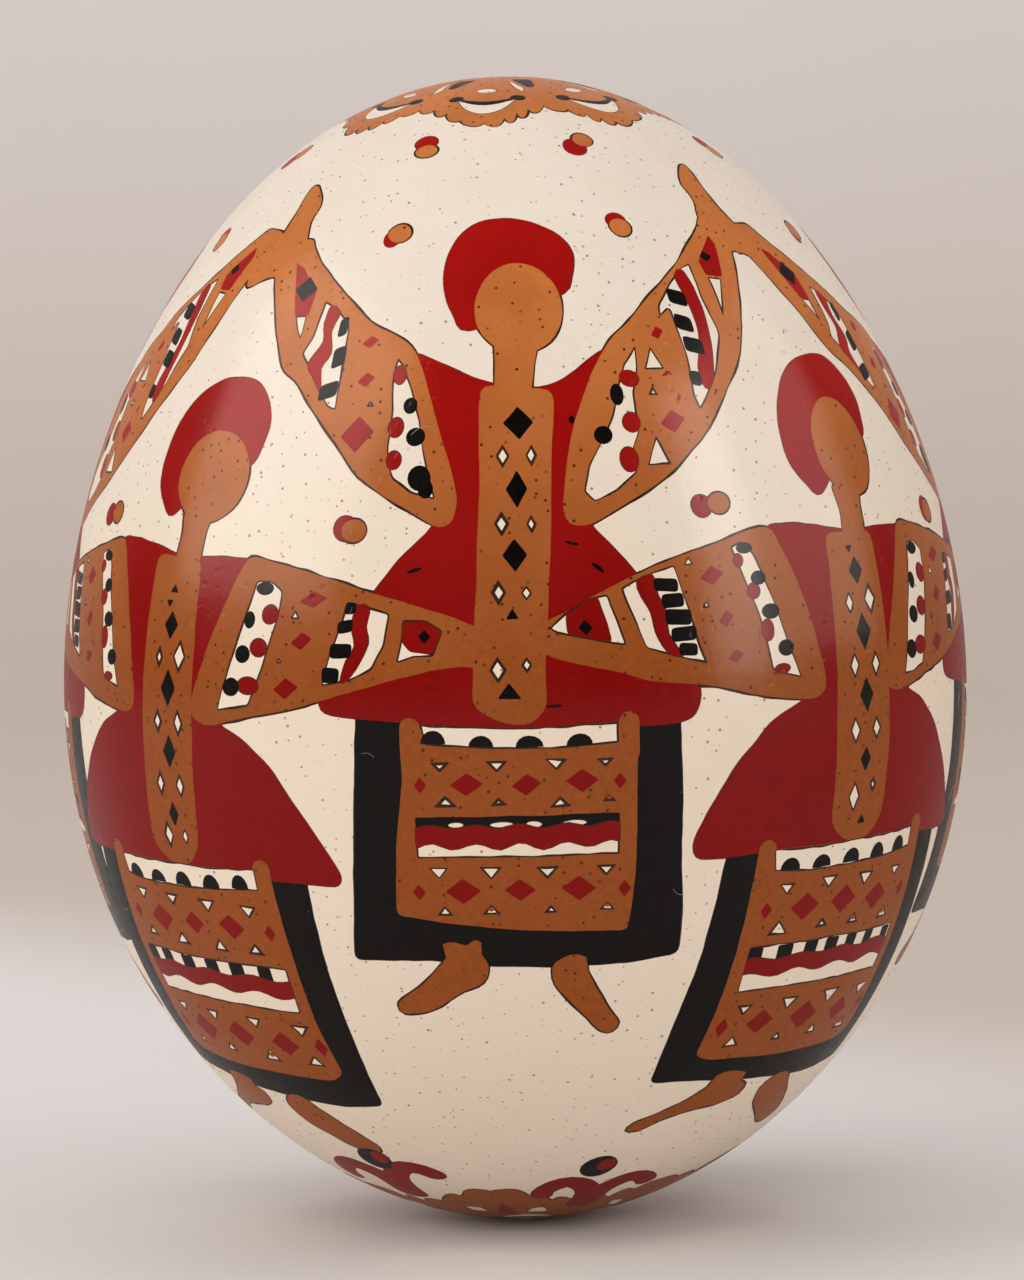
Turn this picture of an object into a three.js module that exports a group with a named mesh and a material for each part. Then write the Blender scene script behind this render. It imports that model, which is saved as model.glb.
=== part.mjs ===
// A blown hen's egg decorated as a pysanka. Millimetres, +Z up, standing on its blunt end.
// Origin: the lowest point of the egg, on its axis.
import * as THREE from 'three';

// The finished egg, over the varnish
const eggHeight = 57;
const eggWidth = 45;

// The outline: an ellipse whose radius is multiplied by a cubic of the height
const crownTaper = 0.0685;
const shoulderPull = 0.0404;
const tipFullness = 0.0577;

// Coats and walls, from the outside in
const varnishThickness = 0.06;
const cuticleThickness = 0.03;
const shellThickness = 0.36;
const outerMembraneThickness = 0.05;
const innerMembraneThickness = 0.03;
const bondGap = 0.01;

// The air cell at the blunt end, where the inner membrane leaves the outer one
const airCellWidth = 19;
const airCellDepth = 3.2;

// The hole that the egg was blown through, and the wax that closes it
const blowHoleWidth = 2.4;
const plugClearance = 0.02;
const plugInnerStand = 0.5;
const plugInnerDome = 0.3;

// Fineness of the faceted solids
const segmentsAround = 32;
const segmentsAlong = 18;
const plugSteps = 4;

// Radius of the outline before it is brought to the egg's width; level runs from -1 at the base to 1
function outlineShape(level) {
  const taper = 1 - crownTaper * level - shoulderPull * level ** 2 + tipFullness * level ** 3;
  return Math.sqrt(Math.max(0, 1 - level ** 2)) * taper;
}

// The widest place lies near mid height, so a fine search of the outline finds it
function widestShape() {
  const searchSteps = 2000;
  let widest = 0;
  for (let step = 1; step < searchSteps; step += 1) {
    widest = Math.max(widest, outlineShape((2 * step) / searchSteps - 1));
  }
  return widest;
}

const radiusScale = eggWidth / 2 / widestShape();

// A point of the outline; turn runs from 0 at the base to PI at the crown
function outlinePoint(turn) {
  const level = -Math.cos(turn);
  return new THREE.Vector2(radiusScale * outlineShape(level), (eggHeight / 2) * (1 + level));
}

// The outline's outward normal, straight down at the base and straight up at the crown
function outlineNormal(turn) {
  const reach = 1e-4;
  const below = outlinePoint(Math.max(0, turn - reach));
  const above = outlinePoint(Math.min(Math.PI, turn + reach));
  const along = above.sub(below).normalize();
  return new THREE.Vector2(along.y, -along.x);
}

// A point at some depth below the finished surface
function pointBelow(turn, depthAt) {
  const point = outlinePoint(turn);
  return point.addScaledVector(outlineNormal(turn), -depthAt(point));
}

// The turn at which a buried outline reaches the given radius, near the base
function turnAtRadius(radius, depthAt) {
  let near = 0;
  let far = Math.PI / 2;
  const halvings = 50;
  for (let step = 0; step < halvings; step += 1) {
    const middle = (near + far) / 2;
    if (pointBelow(middle, depthAt).x < radius) {
      near = middle;
    } else {
      far = middle;
    }
  }
  return far;
}

const holeTurn = turnAtRadius(blowHoleWidth / 2, () => 0);

// One face of a wall, from the edge of the blow hole up to the crown. Past the edge every face
// has its corners at the same turns, so that thin layers nest without crossing.
function wallFace(depthAt) {
  const points = [pointBelow(turnAtRadius(blowHoleWidth / 2, depthAt), depthAt)];
  for (let step = 1; step < segmentsAlong; step += 1) {
    const turn = holeTurn + ((Math.PI - holeTurn) * step) / segmentsAlong;
    points.push(pointBelow(turn, depthAt));
  }
  points.push(new THREE.Vector2(0, eggHeight - depthAt(outlinePoint(Math.PI))));
  return points;
}

// Turns a profile about the egg's axis; the profile runs counter-clockwise, seen with +Z up
function turned(profile, around) {
  const geometry = new THREE.LatheGeometry(profile, around);
  geometry.rotateX(Math.PI / 2);
  return geometry;
}

// A wall between two depths: out over its outer face and back along its inner one
function wallGeometry(outerDepthAt, innerDepthAt) {
  const outerFace = wallFace(outerDepthAt);
  const innerFace = wallFace(innerDepthAt);
  return turned([...innerFace.reverse(), ...outerFace], segmentsAround);
}

function evenWall(outerDepth, thickness) {
  return wallGeometry(() => outerDepth, () => outerDepth + thickness);
}

// How far the inner membrane stands off across the air cell, a shallow lens round the axis
function airCellStandOff(point) {
  const share = point.x / (airCellWidth / 2);
  const overBase = point.y < eggHeight / 2;
  return overBase && share < 1 ? airCellDepth * (1 - share ** 2) : 0;
}

function innerMembraneGeometry(outerDepth) {
  const outerDepthAt = (point) => outerDepth + airCellStandOff(point);
  const innerDepthAt = (point) => outerDepthAt(point) + innerMembraneThickness;
  return wallGeometry(outerDepthAt, innerDepthAt);
}

// The plug follows the egg's surface outside, fills the hole and ends in a low dome inside
function plugGeometry(wallDepth) {
  const radius = blowHoleWidth / 2 - plugClearance;
  const edgeTurn = turnAtRadius(radius, () => 0);
  const outerFace = [];
  for (let step = 0; step <= plugSteps; step += 1) {
    outerFace.push(outlinePoint((edgeTurn * step) / plugSteps));
  }
  outerFace[0].x = 0;
  const innerLevel = wallDepth + plugInnerStand;
  const innerDome = [];
  for (let step = 0; step <= plugSteps; step += 1) {
    const angle = (Math.PI / 2) * (step / plugSteps);
    innerDome.push(new THREE.Vector2(
      step === plugSteps ? 0 : radius * Math.cos(angle),
      innerLevel + plugInnerDome * Math.sin(angle),
    ));
  }
  return turned([...outerFace, ...innerDome], segmentsAround);
}

const finishes = {
  varnish: { color: 0xf3ead8, roughness: 0.28, metalness: 0, transparent: true, opacity: 0.35 },
  cuticle: { color: 0xc2773f, roughness: 0.55, metalness: 0 },
  shell: { color: 0xece0cb, roughness: 0.75, metalness: 0 },
  outerMembrane: { color: 0xe9e2d6, roughness: 0.8, metalness: 0 },
  innerMembrane: { color: 0xefe9de, roughness: 0.7, metalness: 0 },
  wax: { color: 0xc99a4e, roughness: 0.5, metalness: 0 },
};

function addPiece(egg, name, geometry, finish) {
  const piece = new THREE.Mesh(geometry, new THREE.MeshStandardMaterial(finish));
  piece.name = name;
  egg.add(piece);
}

// Depth of each layer's outer face below the finished surface
const cuticleDepth = varnishThickness + bondGap;
const shellDepth = cuticleDepth + cuticleThickness + bondGap;
const outerMembraneDepth = shellDepth + shellThickness + bondGap;
const innerMembraneDepth = outerMembraneDepth + outerMembraneThickness + bondGap;

const egg = new THREE.Group();
addPiece(egg, 'varnish_coat', evenWall(0, varnishThickness), finishes.varnish);
addPiece(egg, 'dyed_cuticle', evenWall(cuticleDepth, cuticleThickness), finishes.cuticle);
addPiece(egg, 'shell', evenWall(shellDepth, shellThickness), finishes.shell);
addPiece(egg, 'outer_membrane', evenWall(outerMembraneDepth, outerMembraneThickness), finishes.outerMembrane);
addPiece(egg, 'inner_membrane', innerMembraneGeometry(innerMembraneDepth), finishes.innerMembrane);
addPiece(egg, 'hole_plug', plugGeometry(innerMembraneDepth), finishes.wax);

export default egg;
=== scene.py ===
import bpy
import bmesh
import math
import random
from bisect import bisect_right
import numpy as np
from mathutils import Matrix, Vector, noise
from mathutils.geometry import delaunay_2d_cdt


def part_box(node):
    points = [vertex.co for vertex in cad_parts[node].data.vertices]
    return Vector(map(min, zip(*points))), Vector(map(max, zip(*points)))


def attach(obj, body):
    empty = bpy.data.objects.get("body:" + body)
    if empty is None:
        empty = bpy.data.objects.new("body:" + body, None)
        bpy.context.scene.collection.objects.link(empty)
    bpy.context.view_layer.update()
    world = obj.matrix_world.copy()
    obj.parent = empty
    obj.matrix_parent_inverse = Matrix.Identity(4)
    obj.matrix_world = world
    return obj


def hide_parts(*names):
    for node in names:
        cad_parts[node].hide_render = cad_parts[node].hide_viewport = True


# A pysanka: a blown hen's egg, dyed by wax resist with dancers, and varnished.
# A place on the shell is (degrees round from the front, millimetres down the shell from the crown).

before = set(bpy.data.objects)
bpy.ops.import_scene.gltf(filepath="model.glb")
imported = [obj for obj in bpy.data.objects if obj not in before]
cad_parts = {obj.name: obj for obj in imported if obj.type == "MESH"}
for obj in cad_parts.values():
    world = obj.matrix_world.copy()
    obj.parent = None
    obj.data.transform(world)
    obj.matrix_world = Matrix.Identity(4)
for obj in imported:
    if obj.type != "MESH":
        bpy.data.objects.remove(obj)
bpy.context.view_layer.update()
scene = bpy.context.scene
mm = 0.001

# ---- the egg's form

eggForm = {
    "widthMm": 45.0,  # the CAD solid is faceted, so its box is a little narrower
    "crownTaper": 0.0685,
    "shoulderPull": 0.0404,
    "tipFullness": 0.0577,
    "layerMm": 0.095,  # dyed layer and varnish together
    "plugClearanceMm": 0.02,
    "steps": 6000,
}
eggForm["heightMm"] = (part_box("varnish_coat")[1][2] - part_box("hole_plug")[0][2]) / mm
eggForm["holeRadiusMm"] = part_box("hole_plug")[1][0] / mm + eggForm["plugClearanceMm"]


def formShape(turn):
    level = -math.cos(turn)
    taper = (1 - eggForm["crownTaper"] * level - eggForm["shoulderPull"] * level ** 2
             + eggForm["tipFullness"] * level ** 3)
    return math.sin(turn) * taper


eggForm["radiusScaleMm"] = eggForm["widthMm"] / 2 / max(formShape(math.pi * k / 2000) for k in range(2001))


def formPoint(turn):
    return eggForm["radiusScaleMm"] * formShape(turn), eggForm["heightMm"] / 2 * (1 - math.cos(turn))


# A ruler down the shell: turn, distance from the crown and the logarithm of the flat sheet's radius.
# On the flat sheet the crown is the centre and small shapes keep their form.
class Ruler:
    def __init__(self):
        steps = eggForm["steps"]
        self.turn, self.down, self.radius, self.height, self.spread = [], [], [], [], []
        down = spread = 0.0
        last = None
        for k in range(1, steps):
            turn = math.pi * (1 - k / steps)
            radius, height = formPoint(turn)
            if last:
                stride = math.hypot(radius - last[0], height - last[1])
                down += stride
                spread += stride * 2 / (radius + last[0])
            else:
                down = math.hypot(radius, eggForm["heightMm"] - height)
            last = radius, height
            self.turn.append(turn)
            self.down.append(down)
            self.radius.append(radius)
            self.height.append(height)
            self.spread.append(spread)
        self.length = down
        middle = self.value(self.spread, self.down, down / 2)
        self.spread = [value - middle for value in self.spread]

    def value(self, wanted, known, at):
        k = min(max(bisect_right(known, at), 1), len(known) - 1)
        low, high = known[k - 1], known[k]
        share = (at - low) / (high - low)
        return wanted[k - 1] + (wanted[k] - wanted[k - 1]) * share


ruler = Ruler()
print("egg form: %.1f mm down the shell from crown to base" % ruler.length)


def radiusAt(down):
    return ruler.value(ruler.radius, ruler.down, down)


def toSheet(place):
    around, down = math.radians(place[0]), place[1]
    reach = math.exp(ruler.value(ruler.spread, ruler.down, down))
    return reach * math.sin(around), -reach * math.cos(around)


def sheetScale(spot):
    reach = math.hypot(*spot)
    if reach < 1e-6:
        return math.exp(ruler.spread[0]) / ruler.radius[0]
    return reach / ruler.value(ruler.radius, ruler.spread, math.log(reach))


def spaceMm(place):
    around, down = math.radians(place[0]), place[1]
    radius = radiusAt(down)
    height = ruler.value(ruler.height, ruler.down, down)
    return Vector((radius * math.sin(around), -radius * math.cos(around), height))


# ---- outlines, all in degrees round and millimetres down

hand = {
    "stepMm": 0.32,  # spacing of the points along an outline
    "cornerMm": 0.35,  # how round the pen leaves a corner
    "wanderMm": 0.07,  # slow drift of the hand
    "wanderWaveMm": 2.6,
    "shakeMm": 0.028,  # quick shake of the pen
    "shakeWaveMm": 0.75,
    "lineMm": {"Orange": 0.1, "Red": 0.035, "Black": 0.05},  # dark line where dye crept under the wax's edge
    "cellLineMm": 0.09,
    "lineUneven": 0.75,
    "lineWaveMm": 0.9,
    "ovalPoints": 16,
}


def between(a, b):
    middle = radiusAt((a[1] + b[1]) / 2)
    return math.hypot(math.radians(b[0] - a[0]) * middle, b[1] - a[1])


def mix(a, b, share):
    return a[0] + (b[0] - a[0]) * share, a[1] + (b[1] - a[1]) * share


def closedPath(points):
    path = []
    for a, b in zip(points, points[1:] + points[:1]):
        count = max(1, round(between(a, b) / hand["stepMm"]))
        path += [mix(a, b, k / count) for k in range(count)]
    return path


# Straight sides with rounded corners
def cut(points, corner=None):
    corner = hand["cornerMm"] if corner is None else corner
    longestShare = 0.42  # a corner takes less than half of a side
    path = []
    for k, here in enumerate(points):
        before, after = points[k - 1], points[(k + 1) % len(points)]
        toBefore, toAfter = between(here, before), between(here, after)
        start = mix(here, before, min(longestShare, corner / max(toBefore, 1e-6)))
        end = mix(here, after, min(longestShare, corner / max(toAfter, 1e-6)))
        for share in (0, 0.35, 0.65, 1):
            path.append(mix(mix(start, here, share), mix(here, end, share), share))
    return closedPath(path)


# The part of a smooth curve through four points that lies between the middle two
def smoothStretch(p0, p1, p2, p3):
    stretch = []
    steps = max(2, round(between(p1, p2) / hand["stepMm"]))
    for k in range(steps):
        t = k / steps
        stretch.append(tuple(
            0.5 * (2 * b + (c - a) * t + (2 * a - 5 * b + 4 * c - d) * t * t + (3 * b - a - 3 * c + d) * t ** 3)
            for a, b, c, d in zip(p0, p1, p2, p3)))
    return stretch


# One smooth closed curve through every point
def bend(points):
    path = []
    count = len(points)
    for k in range(count):
        path += smoothStretch(*(points[(k + j - 1) % count] for j in range(4)))
    return path


def oval(around, down, halfAcross, halfDown, tilt=0.0):
    # halfAcross in degrees, halfDown in millimetres, tilt in degrees clockwise
    wide = math.radians(halfAcross) * radiusAt(down)
    count = max(hand["ovalPoints"], round(math.pi * (wide + halfDown) / hand["stepMm"]))
    turn, path = math.radians(tilt), []
    for k in range(count):
        angle = 2 * math.pi * k / count
        x, y = wide * math.cos(angle), halfDown * math.sin(angle)
        x, y = x * math.cos(turn) - y * math.sin(turn), x * math.sin(turn) + y * math.cos(turn)
        path.append((around + math.degrees(x / radiusAt(down)), down + y))
    return path


def diamond(around, down, halfAcross, halfDown, skew=0.0):
    return cut([(around - halfAcross, down + skew), (around, down - halfDown),
                (around + halfAcross, down - skew), (around, down + halfDown)], 0.08)


def tent(around, down, halfAcross, height):
    # a small triangle, point up for a positive height and point down for a negative one
    return cut([(around - halfAcross, down + height / 2), (around, down - height / 2),
                (around + halfAcross, down + height / 2)], 0.1)


# A pen stroke along a path, with round ends; widths are in millimetres at the start and the end
def stroke(points, startMm, endMm=None):
    endMm = startMm if endMm is None else endMm
    line = []
    last = len(points) - 1
    for k in range(last):
        line += smoothStretch(*(points[min(max(k + j - 1, 0), last)] for j in range(4)))
    line.append(points[-1])
    left, right = [], []
    capSteps = 5
    for k, here in enumerate(line):
        a, b = line[max(k - 1, 0)], line[min(k + 1, len(line) - 1)]
        perDegree = math.radians(1) * radiusAt(here[1])
        dx, dy = (b[0] - a[0]) * perDegree, b[1] - a[1]
        size = math.hypot(dx, dy) or 1
        dx, dy = dx / size, dy / size
        half = (startMm + (endMm - startMm) * k / (len(line) - 1)) / 2

        def off(angle):
            x = dx * math.cos(angle) - dy * math.sin(angle)
            y = dx * math.sin(angle) + dy * math.cos(angle)
            return here[0] + half * x / perDegree, here[1] + half * y

        if k == 0:
            left += [off(math.pi - math.pi / 2 * j / capSteps) for j in range(capSteps + 1)]
            right += [off(math.pi + math.pi / 2 * j / capSteps) for j in range(1, capSteps + 1)]
        elif k == len(line) - 1:
            left += [off(math.pi / 2 - math.pi / 2 * j / capSteps) for j in range(capSteps + 1)]
            right += [off(-math.pi / 2 + math.pi / 2 * j / capSteps) for j in range(capSteps)]
        else:
            left.append(off(math.pi / 2))
            right.append(off(-math.pi / 2))
    return left + right[::-1]


# ---- the flat sheet that the pattern is painted on, each shape over those before it

groundShapes, edgeShapes, paintedShapes = [], [], []


def signedArea(loop):
    return sum(a[0] * b[1] - b[0] * a[1] for a, b in zip(loop, loop[1:] + loop[:1])) / 2


def grown(loop, amountMm):
    # the loop runs counter-clockwise; a positive amount moves it outwards
    result = []
    for k, here in enumerate(loop):
        a, b = loop[k - 1], loop[(k + 1) % len(loop)]
        dx, dy = b[0] - a[0], b[1] - a[1]
        size = math.hypot(dx, dy) or 1
        scale = sheetScale(here)
        at = Vector((here[0], here[1], 0)) / (scale * hand["lineWaveMm"])
        reach = amountMm * scale * (1 + hand["lineUneven"] * noise.noise(at + Vector((0, 0, 4))))
        result.append((here[0] + dy / size * reach, here[1] - dx / size * reach))
    return result


def wander(place):
    # the hand's drift, the same for every shape at the same place, so that neighbours stay together
    at = spaceMm(place)
    slow = noise.noise_vector(at / hand["wanderWaveMm"]) * hand["wanderMm"]
    quick = noise.noise_vector(at / hand["shakeWaveMm"] + Vector((7, 3, 5))) * hand["shakeMm"]
    move = slow + quick
    perDegree = math.radians(1) * radiusAt(place[1])
    return place[0] + move.x / perDegree, place[1] + move.y


class Motif:
    # places a motif on the shell: lean and tilt turn it a little, as each figure is drawn by hand
    def __init__(self, name, around, drop=0.0, lean=0.0, tilt=0.0, seed=0, middle=40.0,
                 face=None, slide=0.0, lapShift=0.0, lapWide=1.0):
        self.name, self.around, self.drop, self.lean, self.tilt = name, around, drop, lean, tilt
        self.middle, self.face = middle, face
        self.slide, self.lapShift, self.lapWide = slide, lapShift, lapWide
        self.chance = random.Random(seed)

    def put(self, place):
        x, y = place
        x, y = x + self.lean * (y - self.middle), y + self.drop + self.tilt * x
        return wander((self.around + x, y))

    def loop(self, outline):
        loop = [toSheet(self.put(place)) for place in outline]
        return loop if signedArea(loop) > 0 else loop[::-1]

    # dye over the ground or over other dye; onGround adds the dark line where it meets the ivory
    def dye(self, colour, outline, onGround=True, lineMm=None):
        loop = self.loop(outline)
        if onGround:
            edgeShapes.append(("edgeLines", grown(loop, lineMm or hand["lineMm"][colour])))
        paintedShapes.append((self.name + colour, loop))

    # ivory kept free of dye, with a dark line round it
    def keep(self, outline, lineMm=None):
        loop = self.loop(outline)
        paintedShapes.append(("edgeLines", loop))
        paintedShapes.append((self.name + "Ivory", grown(loop, -(lineMm or hand["cellLineMm"]))))

    # dye that lies in a kept cell, with the same dark line
    def dyeInCell(self, colour, outline):
        loop = self.loop(outline)
        paintedShapes.append(("edgeLines", grown(loop, hand["lineMm"][colour])))
        paintedShapes.append((self.name + colour, loop))


# ---- the dancers

raisedSleeve = {
    "left": {
        "cloth": [(-13.4, 24.0), (-17, 23.2), (-20.5, 22.7), (-25, 21.4), (-30, 20.0), (-33, 19.2), (-36, 18.2),
                  (-37.2, 17.7), (-39, 17.7), (-41.5, 17.7), (-45, 17.4), (-46.4, 18.4), (-45.4, 19.4),
                  (-44, 19.0), (-43, 19.2), (-42.2, 19.9), (-40, 21.2), (-38, 22.4), (-36, 23.7), (-34, 25),
                  (-31, 25.6), (-27, 27.2), (-23, 28.9), (-20, 30.2),
                  (-16.5, 31.2), (-12.5, 32.1), (-9, 32.9), (-7.2, 32.6), (-6.6, 31.6), (-7.6, 29.9),
                  (-9.6, 27.8), (-11.8, 25.3)],
        "handCell": [(-38.2, 19.2), (-36.4, 19.4), (-33.8, 20.2), (-32, 20.8), (-32.2, 22.1), (-34.8, 22.1),
                     (-36.2, 20.9)],
        "handDiamond": (-34.2, 20.65, 2.3, 0.72),
        "handTip": [(-34.6, 22.1), (-32.4, 22.1), (-32.3, 23.4), (-33.2, 23.0)],
        "stripeCell": [(-29.8, 21.3), (-28, 21.6), (-26, 22.1), (-24.3, 22.7), (-23.9, 24.8), (-24, 27.1),
                       (-25.4, 26.9), (-27.2, 25.9), (-29.4, 25), (-31.4, 24.2), (-30.3, 23.4), (-30.1, 22.4)],
        "stripeRed": [(-28.4, 21.6), (-26.4, 22), (-27.2, 23), (-26.4, 24.2), (-27.5, 25), (-26.7, 26.2),
                      (-28.8, 25.3), (-29.9, 24.7), (-28.2, 23.6), (-28.8, 22.6)],
        "beans": [(-25.3, 22.8, 0.75, 0.5, 0.1), (-25.0, 24.4, 1.0, 0.52, 0.12), (-25.6, 26.1, 1.4, 0.4, 0.15)],
        "bandReds": [(-20.4, 23.6, 1.3, 0.34), (-20.1, 25.6, 1.3, 0.38), (-20.5, 28.3, 2.4, 0.9)],
        "bandTents": [(-19.1, 26.8, 0.5, 0.25)],
        "cuffCell": [(-15.9, 24.5), (-14.9, 24.8), (-13.4, 26), (-12, 27.6), (-11, 29.4), (-9.5, 31.5),
                     (-12.8, 31.2), (-15.2, 30.5), (-16, 29.2), (-15.9, 27.2), (-16.3, 25.8)],
        "cuffReds": [(-15.2, 25.4, 0.95, 0.5), (-15.1, 28.0, 1.05, 0.5), (-15.0, 29.6, 1.0, 0.45)],
        "cuffBlacks": [(-13.4, 26.95, 1.0, 0.42), (-12.3, 28.5, 1.3, 0.46), (-11.6, 30.5, 1.5, 0.6),
                       (-10.8, 31.0, 1.0, 0.45)],
    },
    "right": {
        "cloth": [(14.4, 24.1), (16.2, 23.4), (18, 23.0), (21, 22.0), (25, 20.9), (28, 20.2), (31, 19.4), (34, 18.5),
                  (37.5, 17.6), (39.4, 16.9), (42, 16.9), (45.5, 17.2), (46.2, 18.5), (44.9, 19.3), (43.5, 18.5),
                  (42.6, 19.2), (41.5, 20.2), (39.7, 21.6), (38, 23), (36, 24.5),
                  (33, 25.9), (30, 27.2), (27, 28.5), (24, 29.5), (21, 30.5), (17, 31.4), (13, 32.2),
                  (9.8, 32.9), (7.3, 32.9), (6.3, 32.2), (6.9, 30.5), (8.5, 28), (11.2, 25.8)],
        "handCell": [(39.2, 18.0), (36, 19), (34.4, 19.6), (34.8, 20.4), (38, 20.5), (39.9, 18.5)],
        "handDiamond": (36.3, 19.3, 1.3, 0.34),
        "handTip": [(34.9, 20.5), (37.6, 20.6), (36.3, 21.6), (35, 22.7)],
        "stripeCell": [(23.8, 22), (27, 20.8), (30.2, 20), (32.4, 19.7), (32.3, 21.8), (33.2, 23.6),
                       (30.8, 25.5), (28.5, 26.7), (26.6, 27.5), (26, 26.7), (26.4, 24.5), (25.6, 22.2),
                       (23.6, 22.7)],
        "stripeRed": [(28.6, 20.4), (30.6, 20.1), (31.5, 21.8), (31.2, 23.6), (29.8, 26), (28.3, 26.4),
                      (27.8, 25.4), (29.5, 23.6), (29.3, 22)],
        "beans": [(27.6, 21.6, 1.6, 0.42, -0.14), (27.5, 23.0, 1.4, 0.42, -0.14), (28.1, 24.2, 1.5, 0.42, -0.12),
                  (27, 25.9, 0.9, 0.36, -0.05)],
        "bandReds": [(22.6, 23.5, 1.1, 0.36), (22.6, 25.6, 0.9, 0.12), (23.8, 26.8, 0.5, 0.2),
                     (22.2, 28, 1.8, 0.6)],
        "bandTents": [(20.9, 24.8, 1.2, 0.9), (20, 26.4, 0.6, 0.4), (19.5, 29.4, 1.3, 1.1)],
        "cuffCell": [(18.7, 24.1), (16.6, 25), (15.2, 26), (13.8, 27.7), (11.9, 29), (10, 30.1), (9.1, 31.3),
                     (10.5, 31.8), (13.5, 31.3), (16.4, 30.4), (16, 29.5), (17.3, 28.5), (17.3, 26.5),
                     (18.4, 25.3)],
        "cuffReds": [(16.9, 25.8, 1.4, 0.42), (16.4, 28, 1.2, 0.5), (15.5, 29.8, 1.2, 0.62)],
        "cuffBlacks": [(14.8, 26.6, 0.95, 0.55), (12.4, 28.6, 1.25, 0.45)],
    },
}

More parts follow.
